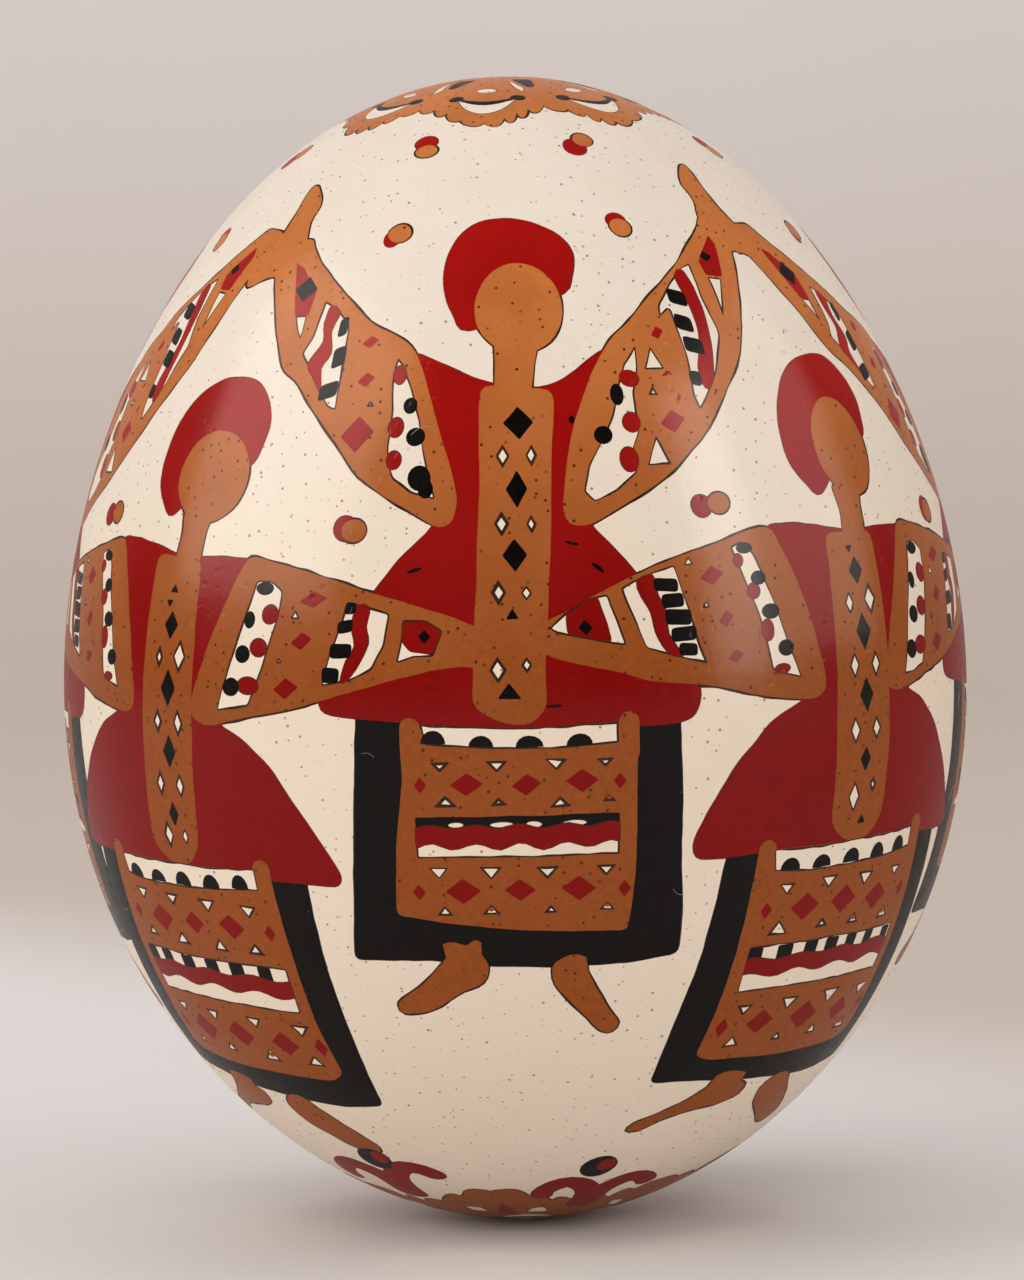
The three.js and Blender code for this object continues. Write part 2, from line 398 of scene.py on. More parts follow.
# The cells under onShell are given where they lie on the egg, degrees from its front, on one lower dancer:
# the left sleeve's on the first, the right sleeve's on the last; uprightCells moves them to the middle.
spreadSleeve = {
    "left": {
        "cloth": [(-12.4, 33.05), (-16, 33.3), (-20, 33.7), (-25, 34.2), (-30, 34.8), (-35, 35.6),
                  (-39, 36.4), (-43, 37), (-45.5, 37.7), (-43, 38.4), (-39, 38.9), (-34, 39.4),
                  (-30, 39.9), (-25, 40.2), (-20, 40.5), (-16, 40.9), (-12, 41.2), (-8.2, 41.35),
                  (-6.3, 41), (-6.2, 40.2), (-7.8, 37.6), (-9.6, 35.4)],
        "beans": [(-27.6, 35.55, 1.6, 0.3, -0.05), (-26.9, 36.28, 1.4, 0.33, 0.03),
                  (-26.4, 37.05, 1.6, 0.36, -0.04), (-25.8, 37.83, 1.6, 0.33, 0.03),
                  (-25.3, 38.55, 1.2, 0.3, -0.04)],
        "onShell": {
            "handCell": [(4, 37.6), (6, 36.9), (9, 36.3), (11.3, 36.1), (12.4, 37.3), (13.3, 38.45),
                         (10.5, 38.3), (7, 38), (5, 37.85)],
            "handRed": [(6.2, 37), (8.6, 36.45), (10.1, 36.25), (11, 37.4), (11.5, 38.25), (9, 38.1),
                        (6.3, 37.85)],
            "handDiamond": (8.4, 37.6, 0.85, 0.36),
            "stripeCell": [(12.8, 35.85), (14.6, 35.5), (17.2, 35.15), (19.8, 34.85), (20.7, 36.2), (22, 38),
                           (23.3, 39.5), (20.5, 39.2), (18, 38.9), (15.5, 38.6), (14.4, 37.4), (13.4, 36.5)],
            "stripeRed": [(14.8, 35.55), (16.9, 35.3), (17.4, 36.2), (18.3, 37), (18.5, 38), (20.2, 39.05),
                          (18.2, 38.8), (16.8, 37.9), (16.3, 37), (15.3, 36.3)],
            "bandReds": [(24.6, 35.4, 1.6, 0.46), (26, 37.4, 1.1, 0.42), (27, 39.2, 1.1, 0.32)],
            "bandTents": [(21.7, 34.7, 0.5, 0.3), (23.4, 36.7, 0.45, 0.3)],
            "cuffCell": [(27.4, 34.1), (29.4, 33.85), (30.9, 34.5), (32.6, 36.4), (34.3, 38.4), (36.2, 40.35),
                         (34, 40.15), (31.9, 39.9), (31.1, 38.4), (30.1, 36.9), (28.9, 35.6)],
            "cuffReds": [(28.4, 34.75, 0.7, 0.3), (30.1, 36.2, 0.9, 0.38), (31.6, 38.05, 0.9, 0.5),
                         (33.4, 39.85, 1.1, 0.22)],
            "cuffBlacks": [(29.5, 34.2, 1.2, 0.26), (31, 35.6, 1.1, 0.34), (32.2, 37.2, 1.3, 0.36),
                           (34.1, 38.9, 1.2, 0.38)],
        },
    },
    "right": {
        "cloth": [(12, 33.3), (15, 33.5), (20, 33.9), (25, 34.3), (30, 34.8), (35, 35.3), (40, 35.8),
                  (45.5, 36.6), (45.5, 38), (40, 37.9), (35, 38.4), (30, 39), (25, 39.6), (20, 40.3),
                  (15, 40.7), (10, 41.2), (7, 41.4), (5, 41.1), (4.6, 40.5), (7, 37.8), (9.8, 35.2)],
        "onShell": {
            "handCell": [(-13.3, 37.05), (-10.4, 37.1), (-8.3, 37.6), (-9.5, 38.8), (-11.6, 38.75),
                         (-14.1, 39.05), (-13.5, 38.1)],
            "handRed": [(-13.1, 37.15), (-10.4, 37.2), (-8.5, 37.65), (-9.6, 38.65), (-12.4, 38.5), (-13.3, 38)],
            "handDiamond": (-10.6, 37.85, 0.8, 0.32),
            "stripeCell": [(-20.2, 36.15), (-17.4, 36.4), (-14.7, 36.75), (-15.4, 38.2), (-16.9, 39.35),
                           (-20, 39.85), (-23.3, 40.05), (-22.5, 38.7), (-21, 37.2)],
            "stripeRed": [(-18.7, 36.35), (-17.3, 36.45), (-17.7, 37.3), (-17.4, 38.1), (-18.9, 39.3),
                          (-20.2, 39.8), (-20.9, 39.85), (-20.2, 38.9), (-19.2, 38.2), (-19.6, 37.3)],
            "beans": [(-19.7, 36.5, 0.8, 0.27, 0.05), (-20.4, 37.35, 1, 0.3, 0.1),
                      (-20.9, 38.45, 1.4, 0.33, 0.05), (-22.2, 39.55, 1.1, 0.36, 0)],
            "bandReds": [(-24.5, 36.1, 1.9, 0.4), (-26, 38, 1.4, 0.42), (-28.2, 40.2, 1.7, 0.5)],
            "bandTents": [(-26.9, 36.75, 0.5, 0.35), (-29, 38.9, 0.35, 0.22)],
            "cuffCell": [(-32.6, 35.15), (-30.4, 35.2), (-28.7, 35.7), (-29.4, 37.1), (-31.1, 39.2),
                         (-33.3, 41.05), (-35.6, 41.2), (-38.2, 41.25), (-36.9, 39.8), (-35.4, 38.2),
                         (-33.9, 36.5)],
            "cuffReds": [(-30.4, 36.75, 1.15, 0.45), (-31.8, 38.3, 1.2, 0.44), (-33.4, 40.1, 1.5, 0.42)],
            "cuffBlacks": [(-31.4, 35.55, 1.3, 0.32), (-33.4, 37, 0.8, 0.42), (-34.2, 38.6, 1.15, 0.42),
                           (-35.9, 40.15, 1.3, 0.45)],
        },
    },
}


# A spot on the shell as it lies on the dancer drawn there, once the dancer stands upright at the front.
# The dancer's lean and tilt are undone in turns; a tenth of a degree is finer than the pen.
def upright(spot, motif):
    across = (spot[0] - motif.around + 180) % 360 - 180
    x = across
    for turn in range(4):
        y = spot[1] - motif.drop - motif.tilt * x
        x = across - motif.lean * (y - motif.middle)
    return (round(x, 1), round(y, 2)) + tuple(spot[2:])


def uprightCells(parts, motif):
    for name, given in parts.pop("onShell").items():
        isOne = isinstance(given, tuple)
        parts[name] = upright(given, motif) if isOne else [upright(spot, motif) for spot in given]


# neighbours hold one raised hand between them; points are from the place where they meet
joinedHands = [(-6.2, 17.6), (-5.2, 16.6), (-3.9, 15.9), (-3.8, 15.3), (-4.3, 14.8), (-3.3, 14.2), (-1.4, 13.7),
               (0.2, 13.3), (1.8, 13.25), (2.0, 13.8), (1.4, 15.1), (1.7, 16.3), (3.2, 17.3), (5.4, 18.2),
               (4, 19.6), (-0.8, 18.9), (-5, 19.2)]


def sleeve(motif, parts):
    motif.dye("Orange", cut(parts["cloth"], 0.7))


def sleeveCells(motif, parts):
    if "handRed" in parts:
        motif.keep(cut(parts["handCell"], 0.2))
        motif.dyeInCell("Red", cut(parts["handRed"], 0.15))
    else:
        motif.dye("Red", cut(parts["handCell"], 0.15), onGround=False)
        motif.keep(cut(parts["handTip"], 0.1))
    motif.dye("Black", diamond(*parts["handDiamond"]), onGround=False)
    motif.keep(cut(parts["stripeCell"], 0.2))
    motif.dyeInCell("Red", bend(parts["stripeRed"]))
    for bean in parts["beans"]:
        motif.dye("Black", cut(box(*bean), 0.22), onGround=False)
    for red in parts["bandReds"]:
        motif.dye("Red", diamond(*red, skew=0.12), onGround=False)
    for white in parts["bandTents"]:
        motif.keep(tent(white[0], white[1], white[2] * 1.3, white[3] * 1.3))
    motif.keep(cut(parts["cuffCell"], 0.2))
    for red in parts["cuffReds"]:
        motif.dyeInCell("Red", oval(*red))
    for black in parts["cuffBlacks"]:
        motif.dye("Black", oval(*black), onGround=False)


def box(around, down, halfAcross, halfDown, skew=0.0):
    return [(around - halfAcross, down - halfDown + skew), (around + halfAcross, down - halfDown - skew),
            (around + halfAcross, down + halfDown - skew), (around - halfAcross, down + halfDown + skew)]


# One row of the apron's lattice: red diamonds, with ivory tents hanging above and standing below
def latticeRow(motif, row):
    top, bottom = row["top"], row["bottom"]
    middle = (top + bottom) / 2
    for around in row["diamonds"]:
        size = motif.chance.uniform(0.85, 1.1)
        motif.dye("Red", diamond(around, middle + motif.chance.uniform(-0.1, 0.1), row["across"] * size,
                                 row["tall"] * size, motif.chance.uniform(-0.08, 0.08)), onGround=False)
    for around in row["halves"]:
        motif.dye("Red", diamond(around, middle, row["across"] * 0.4, row["tall"] * 0.7), onGround=False)
    for around in row["tents"]:
        size = motif.chance.uniform(0.7, 1.05)
        motif.keep(tent(around, top + 0.3 + motif.chance.uniform(-0.06, 0.08),
                        row["tentAcross"] * size, -row["tentTall"] * size), 0.11)
        size = motif.chance.uniform(0.55, 1.0)
        low = around + motif.chance.uniform(-0.5, 0.5), bottom - 0.28 + motif.chance.uniform(-0.08, 0.06)
        motif.keep(tent(*low, row["tentAcross"] * size, row["tentTall"] * size), 0.12)
        # dye leaked into some of them
        if motif.chance.random() < 0.4:
            motif.dye("Orange", oval(*low, row["tentAcross"] * size * 0.3, row["tentTall"] * size * 0.2),
                      onGround=False)


# The apron's band: black dashes over a red wave over an ivory wave
def bandRow(motif, band):
    left, right, top = band["left"], band["right"], band["top"]
    waves, count = band["waves"], 25
    phase = motif.chance.uniform(0, 6)

    def edge(down, size):
        path = []
        for k in range(count):
            share = k / (count - 1)
            wave = size * math.sin(phase + share * waves * 2 * math.pi)
            path.append((left - 0.15 + (right - left + 0.3) * k / (count - 1), down + wave))
        return path

    def blackBar(start, end, high, low, corner):
        motif.dye("Black", cut([(start, high), (end, high), (end, low), (start, low)], corner), onGround=False)

    motif.keep(cut([(left - 0.1, top), (right + 0.1, top), (right + 0.2, top + band["tall"]),
                    (left - 0.2, top + band["tall"])], 0.15))
    if "peeps" in band:
        blackBar(left - 0.1, right + 0.1, top, top + 0.7, 0.1)
    for around, across in band.get("peeps", []):
        motif.keep(oval(around, top + 0.4, across, 0.16), 0.04)
    at = right if "peeps" in band else left
    while at < right - 1:
        wide = band["dash"] * motif.chance.uniform(0.85, 1.15)
        end = min(at + wide, right)
        blackBar(at, end, top + 0.08, top + 0.95, 0.12)
        at = end + band["gap"] * motif.chance.uniform(0.7, 1.3)
    redTop = edge(top + band["redFrom"], 0.1)
    redBottom = edge(top + band["redTo"], 0.16)
    motif.dyeInCell("Red", closedPath(redTop + redBottom[::-1]))


def apronStrip(motif, strip):
    motif.keep(cut(strip["cell"], 0.12))
    for around, down, wide, tall in strip["halfDiscs"]:
        arch = [(around + wide * math.cos(math.pi * k / 8), down - tall * math.sin(math.pi * k / 8))
                for k in range(9)]
        motif.dye("Black", closedPath(arch), onGround=False)


# the placket hangs a little aside and narrower on some dancers
def lapped(motif, front, outline):
    span = front["bottom"] - front["top"]
    return [(x * motif.lapWide + motif.lapShift * (front["bottom"] - y) / span, y) for x, y in outline]


def placket(motif, front):
    motif.dye("Orange", lapped(motif, front, cut(front["cloth"], 0.6)))


# the placket's pattern starts higher or lower from dancer to dancer
def placketPattern(motif, front):
    top, bottom = front["top"], front["bottom"]

    def slid(down):
        return min(top + (down - top + motif.slide) % (bottom - top), bottom - 0.9) if motif.slide else down

    for around, down, across, tall in front["diamonds"]:
        motif.dye("Black", lapped(motif, front, diamond(around, slid(down), across, tall)), onGround=False)
    for around, down, across, tall in front["kept"]:
        motif.keep(lapped(motif, front, diamond(around, slid(down), across * 1.35, tall * 1.25)), 0.13)
    for around, down, across, tall in front["tents"]:
        motif.dye("Black", lapped(motif, front, tent(around, slid(down), across, tall)), onGround=False)


upperDancer = {
    "scarf": [(-5.6, 23.2), (-8.2, 22.2), (-9.9, 20.9), (-9.9, 19.3), (-8.2, 17.9), (-4.5, 17.05), (0, 16.85),
              (5, 17.1), (9.6, 17.9), (11.5, 19.1), (10.8, 20.4), (9.2, 21.3), (3, 22)],
    "face": (1.8, 22.0, 6.8, 2.45),
    "neck": [(-2.0, 23.6), (4.9, 23.4), (3.7, 24.8), (3.2, 26.4), (-1.9, 26.4), (-1.9, 25)],
    "jacket": [(-13.8, 24.1), (-9, 24.9), (-4.5, 25.7), (1, 26.2), (6.2, 26.1), (10, 25.2), (14.6, 24.1),
               (12, 28), (9.3, 32.6), (12, 33.8), (15.5, 35.5), (18.5, 37.3), (21, 39.2), (22.3, 40.8),
               (21.4, 41.9), (19, 42.15), (10, 42.15), (0, 42.1), (-10, 41.9), (-19, 41.6), (-23.5, 41.3),
               (-23.8, 40.3), (-21.5, 38.6), (-18, 36.4), (-14, 34.4), (-9.3, 32.7), (-11.5, 28.5)],
    "skirt": [(-19, 41), (19.5, 41.3), (19.7, 45), (20.3, 49.5), (21.1, 53.2), (15, 53.55),
              (5, 53.65), (-5, 53.5), (-14, 53.2), (-22.3, 53.15), (-21, 50), (-19.8, 46)],
    "apron": [(-13.7, 42.1), (14.3, 42.0), (14.2, 46), (14.3, 49), (13.6, 51.9), (7, 51.85), (0, 51.7),
              (-8, 51.35), (-15.8, 50.9), (-14.8, 47.5), (-13.8, 44.5)],
    "posts": [(-12.5, 42.05, 1.0), (13.2, 41.95, 1.0)],
    "front": {
        "cloth": [(-4.0, 26.0), (1, 26.1), (6.2, 26.3), (5.2, 30.5), (4.2, 36), (3.5, 39.5), (3.6, 41.2),
                  (1.5, 41.95), (-2, 41.8), (-5.1, 41.1), (-4.6, 37), (-3.9, 31)],
        "diamonds": [(1.2, 27.9, 2.0, 0.82), (0.8, 31.1, 1.4, 0.92), (0.3, 34.2, 1.5, 0.78)],
        "kept": [(-1.0, 29.5, 0.7, 0.48), (2.8, 29.5, 0.6, 0.45), (-1.2, 32.7, 0.7, 0.5), (2.4, 32.8, 0.5, 0.38),
                 (-1.8, 35.9, 0.7, 0.5), (1.5, 35.95, 0.5, 0.3), (-2.0, 39.4, 0.8, 0.5), (1.4, 39.2, 0.5, 0.3)],
        "tents": [(-0.2, 36.9, 0.8, 0.5), (-0.7, 40.35, 1.4, 0.75)],
        "top": 26.6,
        "bottom": 41.5,
    },
    "strip": {
        "cell": [(-11.2, 41.85), (-5, 42.0), (0, 42.02), (6, 42.0), (11.9, 41.95), (12, 42.9), (5, 43.05),
                 (-4, 43.0), (-10.8, 42.8)],
        "halfDiscs": [(-9.8, 42.75, 1.5, 0.62), (-4.2, 42.92, 1.5, 0.52), (1.5, 42.95, 1.6, 0.55),
                      (7.3, 42.95, 1.6, 0.55)],
    },
    "rows": [
        {"top": 43.55, "bottom": 45.75, "diamonds": [-6, 1, 7.6], "halves": [-11.6, 12.2], "across": 2.0,
         "tall": 0.55, "tents": [-9.1, -2.4, 4.5, 10.4], "tentAcross": 1.5, "tentTall": 0.62},
        {"top": 48.6, "bottom": 50.9, "diamonds": [-7.1, 0, 7.2], "halves": [-12.6, 12.9], "across": 2.1,
         "tall": 0.58, "tents": [-9.9, -3.5, 3.4, 10.6], "tentAcross": 1.5, "tentTall": 0.65},
    ],
    "band": {"left": -12.2, "right": 12, "top": 46.15, "tall": 1.95, "waves": 4.5, "redFrom": 0.48,
             "redTo": 1.42, "peeps": [(-7.5, 1.0), (-2.0, 1.5), (1.9, 1.0), (6.6, 1.6)]},
    "dabs": [(7.3, 33.7, 0.9, 0.08, 12), (10.3, 34.9, 0.9, 0.11, 40), (4.4, 41.1, 1.0, 0.07, 0),
             (-11.8, 34.8, 1.0, 0.09, -20), (8.3, 27.8, 0.4, 0.2, 0)],
    "boots": [
        [(-10.3, 52.4), (-8.6, 52.3), (-7.2, 52.45), (-6.2, 52.2), (-5.1, 52.3), (-5.2, 52.9), (-4.4, 53.5),
         (-5.2, 54.4), (-8, 54.9), (-10, 55.4), (-13, 56), (-16.8, 56.15), (-17.6, 55.7), (-16.8, 55.3),
         (-13.5, 54.5), (-11.4, 53.7), (-10, 53.1)],
        [(4.4, 53.4), (6.6, 53), (8.5, 53.2), (8.8, 53.9), (10.3, 55), (12.3, 56.2), (13.8, 56.9),
         (13.1, 57.45), (11.4, 57.4), (8.6, 56.4), (6, 55.4), (4.3, 54.6), (3.9, 53.9)],
    ],
}

lowerDancer = {
    "scarf": [(-2.6, 31.8), (-5.2, 31.2), (-7, 30.2), (-7.4, 29), (-6.6, 27.4), (-4.2, 26.0), (-0.6, 25.1),
              (3.2, 24.8), (7, 24.9), (9.8, 25.7), (11.4, 26.9), (11, 28.2), (9.4, 29.2), (3, 30)],
    "face": (3.4, 29.7, 6.3, 2.45),
    "neck": [(-0.4, 31.4), (5.8, 31.2), (4.5, 32.2), (4.2, 33.9), (-0.3, 33.9), (0.2, 32.6)],
    "jacket": [(-13.2, 33.0), (-8, 33.05), (-3, 33.35), (2, 33.7), (7, 33.5), (13.6, 33.5), (11, 37.5),
               (8.8, 41.2), (13, 41.9), (17, 43.2), (20.8, 45.1), (23.6, 46.8), (25.8, 48), (25.2, 48.6),
               (21, 48.6), (12, 48.5), (0, 48.4), (-12, 48.4), (-20, 48.45), (-24.4, 48.4), (-25, 47.6),
               (-22.6, 45.7), (-19, 43.8), (-14.5, 42.1), (-9, 41.2), (-10.8, 37.5)],
    "skirt": [(-20, 47.8), (20.6, 47.9), (21.4, 52), (22.6, 56), (23.8, 61.3), (15, 61.7),
              (5, 61.6), (-5, 61.3), (-14, 61), (-25.4, 60.7), (-24, 57.4), (-21.8, 53)],
    "apron": [(-15.6, 48.3), (15.6, 48.2), (16.6, 52), (17.4, 56), (18.6, 59.2), (16.4, 59.8), (8, 59.9),
              (0, 59.9), (-8, 59.8), (-15.6, 59.6), (-18.6, 59.2), (-17.4, 56), (-16.4, 52)],
    "posts": [(-14.3, 48.3, 1.0), (14.4, 48.1, 1.0)],
    "front": {
        "cloth": [(-3.6, 33.6), (1, 33.7), (5.4, 33.7), (5.5, 38), (5.4, 44), (5.0, 47.2), (2.6, 48.3),
                  (-1.6, 48.3), (-4.6, 47.4), (-4.4, 42), (-4.0, 37)],
        "diamonds": [(0.9, 35.5, 1.3, 0.68), (1.0, 38.4, 1.4, 0.92), (1.0, 41.4, 1.3, 0.82),
                     (0.8, 44.4, 1.0, 0.6)],
        "kept": [(-1.0, 37, 0.6, 0.45), (2.9, 36.9, 0.9, 0.65), (-1.1, 40.0, 0.7, 0.5), (2.9, 40, 0.7, 0.55),
                 (-1.2, 43, 0.7, 0.55), (2.7, 43, 0.7, 0.5), (-0.9, 46.2, 0.8, 0.6), (2.6, 45.7, 0.5, 0.35)],
        "tents": [(0.2, 34.5, 0.7, -0.4), (0.9, 47.3, 0.8, 0.45)],
        "top": 34.2,
        "bottom": 47.8,
    },
    "strip": {
        "cell": [(-13.2, 48.3), (-6, 48.3), (0, 48.25), (7, 48.25), (13.3, 48.1), (13.4, 49.15), (6, 49.4),
                 (0, 49.5), (-7, 49.5), (-12.8, 49.35)],
        "halfDiscs": [(-10.4, 49.35, 1.6, 0.62), (-5.2, 49.4, 1.6, 0.62), (0.2, 49.4, 1.6, 0.72),
                      (5.5, 49.35, 1.5, 0.72), (10.4, 49.2, 1.4, 0.72)],
    },
    "rows": [
        {"top": 50.0, "bottom": 52.6, "diamonds": [-6.8, 0.4, 7.5], "halves": [-13.2, 13.9], "across": 2.3,
         "tall": 0.66, "tents": [-10.3, -3.2, 4, 11], "tentAcross": 1.8, "tentTall": 0.8},
        {"top": 56.4, "bottom": 58.9, "diamonds": [-8.6, 0.6, 9.8], "halves": [-15.6, 16.6], "across": 2.9,
         "tall": 0.82, "tents": [-12.6, -4, 5.2, 14], "tentAcross": 2.1, "tentTall": 0.85},
    ],
    "band": {"left": -14.6, "right": 15, "top": 53.15, "tall": 2.5, "waves": 3.5, "dash": 2.4, "gap": 2.2,
             "redFrom": 0.72, "redTo": 1.62},
    "boots": [
        [(-12.5, 60.8), (-10, 60.6), (-7.5, 60.7), (-6, 60.9), (-6.2, 61.4), (-4.6, 61.7), (-4.8, 62.4),
         (-8, 62.9), (-13, 63.1), (-19, 63.5), (-24, 64.3), (-26.6, 64.2), (-25.4, 63.6), (-21, 63),
         (-16, 62.2), (-13.2, 61.5)],
        [(0.6, 62.3), (3, 61.5), (6.4, 61.5), (8.6, 62.2), (12.2, 63.3), (15.2, 64.2), (17, 64.9),
         (15.8, 65.5), (11, 65.3), (6, 64.3), (2, 63.4)],
    ],
}


def skirtAndJacket(motif, dancer):
    motif.dye("Red", bend(dancer["scarf"]))
    motif.dye("Black", cut(dancer["skirt"], 0.4))
    motif.dye("Red", cut(dancer["jacket"], 0.6))


def headAndApron(motif, dancer):
    motif.dye("Orange", cut(dancer["neck"], 0.3))
    motif.dye("Orange", oval(*(motif.face or dancer["face"])))
    motif.dye("Orange", cut(dancer["apron"], 0.35), onGround=False)
    for around, down, wide in dancer["posts"]:
        motif.dye("Orange", stroke([(around, down), (around - 0.05, down + 1.4)], wide), onGround=False)
    placket(motif, dancer["front"])
    for boot in dancer["boots"]:
        motif.dye("Orange", bend(boot))


def patternOf(motif, dancer):
    for dab in dancer.get("dabs", []):
        motif.dye("Black", oval(*dab), onGround=False)
    placketPattern(motif, dancer["front"])
    apronStrip(motif, dancer["strip"])
    for row in dancer["rows"]:
        latticeRow(motif, row)
    bandRow(motif, dancer["band"])


upperPlaces = [
    {"around": 0},
    {"around": 90, "drop": -0.25, "lean": 0.05, "tilt": 0.004},
    {"around": 180, "drop": 0.1, "lean": -0.06, "tilt": -0.006},
    {"around": 270, "drop": -0.15, "lean": 0.04, "tilt": 0.005},
]
lowerPlaces = [
    {"around": 46.2, "lean": 0.02, "tilt": -0.008, "face": (3.9, 29.5, 5.5, 2.5)},
    {"around": 134.6, "drop": 0.2, "lean": -0.1, "tilt": 0.012},
    {"around": 225.6, "drop": -0.1, "lean": 0.06, "tilt": -0.01},
    {"around": 312.96, "drop": 0.4, "lean": -0.127, "tilt": 0.022, "face": (3.4, 29.75, 6.3, 2.25),
     "slide": 1.45, "lapShift": -0.5, "lapWide": 0.94},
]



def dancersAt(places, name, firstSeed, middle):
    return [Motif("%s%d" % (name, k + 1), seed=firstSeed + k, middle=middle, **place)
            for k, place in enumerate(places)]


uppers = dancersAt(upperPlaces, "upperDancer", 10, 34.0)
lowers = dancersAt(lowerPlaces, "lowerDancer", 20, 40.0)

uprightCells(spreadSleeve["left"], lowers[0])
uprightCells(spreadSleeve["right"], lowers[-1])

for motif in uppers:
    skirtAndJacket(motif, upperDancer)
for motif in lowers:
    skirtAndJacket(motif, lowerDancer)
for motif in uppers:
    headAndApron(motif, upperDancer)
    for side in ("left", "right"):
        sleeve(motif, raisedSleeve[side])
    # the last pair of hands is turned the other way, and set a little aside and lower
    flip, aside = (-1, 0.9) if motif is uppers[-1] else (1, 0.0)
    meet = Motif(motif.name, motif.around + 45, aside, seed=0)
    meet.dye("Orange", cut([(x * flip + aside, y) for x, y in joinedHands], 0.35))
for motif in lowers:
    headAndApron(motif, lowerDancer)
    for side in ("left", "right"):
        sleeve(motif, spreadSleeve[side])
for motif in uppers:
    patternOf(motif, upperDancer)
    for side in ("left", "right"):
        sleeveCells(motif, raisedSleeve[side])
for motif in lowers:
    patternOf(motif, lowerDancer)
    for side in ("left", "right"):
        sleeveCells(motif, spreadSleeve[side])

# ---- pairs of dots in the open ground beside each upper dancer

dotPairs = {
    # each a red dot and the orange dot that overlaps it
    "pairs": [((-20.2, 11.3, 3.3, 0.6), (-19.2, 12.0, 2.9, 0.5)),
              ((18.3, 11.9, 3.0, 0.66), (21.3, 11.3, 2.6, 0.55)),
              ((-20.4, 17.9, 1.6, 0.5), (-19.2, 17.6, 2.2, 0.55)),
              ((21.2, 17.1, 2.0, 0.5), (21.6, 17.5, 2.0, 0.55)),
              ((-20.8, 32.8, 1.6, 0.62), (-19.7, 32.9, 1.6, 0.55)),
              ((24.4, 32.1, 1.5, 0.56), (26.8, 32.0, 1.5, 0.5))],
    "shift": 0.8,  # degrees, how far a pair strays from dancer to dancer
}

for k, place in enumerate(upperPlaces):
    motif = Motif("dots", place["around"], seed=30 + k)
    for red, orange in dotPairs["pairs"]:
        shift = motif.chance.uniform(-dotPairs["shift"], dotPairs["shift"]) if k else 0
        motif.dye("Red", oval(red[0] + shift, *red[1:]))
        motif.dye("Orange", oval(orange[0] + shift, *orange[1:]))

# ---- the rosette round the crown

crownRosette = {
    "edgeMm": 9.0,
    "scallops": 62,
    "scallopMm": 0.62,
    "swellMm": 0.8,
    "swells": 8,
    "firstSwell": -6,
    "petals": 8,
    # a red star with a black heart in a white ring stands in the middle
    "middleMm": 2.2,
    "starPoints": 15,
    "starMm": 1.85,
    "starNotchMm": 0.5,
    "heartMm": 0.7,
}


# a lace edge: broad swells, each of a few round scallops
def scalloped(rosette, measure):
    points = []
    count = rosette["scallops"] * 11
    for k in range(count):
        around = 360 * k / count
        x, y = math.cos(math.radians(around)), math.sin(math.radians(around))
        drift = 6 * noise.noise(Vector((x, y, 1.7)) * 3)
        scallop = abs(math.sin(math.radians(around + drift) * rosette["scallops"] / 2)) ** 0.55 - 0.6
        swell = math.cos(math.radians(around - rosette["firstSwell"]) * rosette["swells"])
        uneven = noise.noise(Vector((x, y, 0.4)) * 4)
        points.append((around, measure(rosette["edgeMm"] + rosette["swellMm"] * swell
                                       + rosette["scallopMm"] * (1 + uneven) * scallop)))
    return points


# Crescent between two arcs that meet at their ends; depths are distances from the rosette's middle
def crescent(around, halfAcross, endDepth, outerDepth, innerDepth, measure):
    outer, inner = [], []
    for k in range(13):
        share = k / 6 - 1
        rise = 1 - share ** 2
        outer.append((around + halfAcross * share, measure(endDepth + (outerDepth - endDepth) * rise)))
        inner.append((around + halfAcross * share, measure(endDepth + (innerDepth - endDepth) * rise)))
    return closedPath(outer + inner[-2:0:-1])


# One petal: a white crescent like an eye under a black lid, with wedges between the petals. Depths are from the
# rosette's middle on the crown's scale, and spans are shares of the step from petal to petal.
eyePetal = {
    "strayDegrees": 1.2,
    "white": (0.27, 7.1, 8.7, 7.5),
    "lid": (0.32, 6.6, 7.75, 7.3),
    "lidEnds": {"span": 0.29, "depth": 6.9, "across": 3.3, "tall": 0.36, "tilt": 20},
    "slit": {"aside": -1, "depth": 5.75, "across": 5.2, "tall": 0.36},
    "wedge": [(-8, 3.3), (8, 3.3), (2.4, 5.2), (-1.5, 5.3)],
    "leaf": [(-11, 3.9), (-8.6, 3.9), (-3.8, 5.4), (-6, 6.1), (-9.5, 5.2)],
    "cornerMm": 0.2,
    "lineMm": 0.05,
}


def eyePetals(motif, rosette, grow, measure, first=0.0):
    step = 360 / rosette["petals"]
    ends, slit, line = eyePetal["lidEnds"], eyePetal["slit"], eyePetal["lineMm"]

    def moon(around, part):
        span, end, outer, inner = eyePetal[part]
        return crescent(around, step * span, end * grow, outer * grow, inner * grow, measure)

    def blade(around, part):
        return cut([(around + x, measure(y * grow)) for x, y in eyePetal[part]], eyePetal["cornerMm"])

    for k in range(rosette["petals"]):
        around = first + k * step + motif.chance.uniform(-eyePetal["strayDegrees"], eyePetal["strayDegrees"])
        motif.keep(moon(around, "white"), line)
        motif.dye("Black", moon(around, "lid"), onGround=False)
        for side in (-1, 1):
            motif.dye("Black", oval(around + side * step * ends["span"], measure(ends["depth"] * grow),
                                    ends["across"], ends["tall"], side * ends["tilt"]), onGround=False)
        motif.keep(oval(around + slit["aside"], measure(slit["depth"] * grow), slit["across"],
                        slit["tall"] * grow), line)
        gap = around + step / 2
        motif.dye("Black", blade(gap, "wedge"), onGround=False)
        motif.keep(blade(gap, "leaf"), line)


def fromCrown(depth):
    return depth


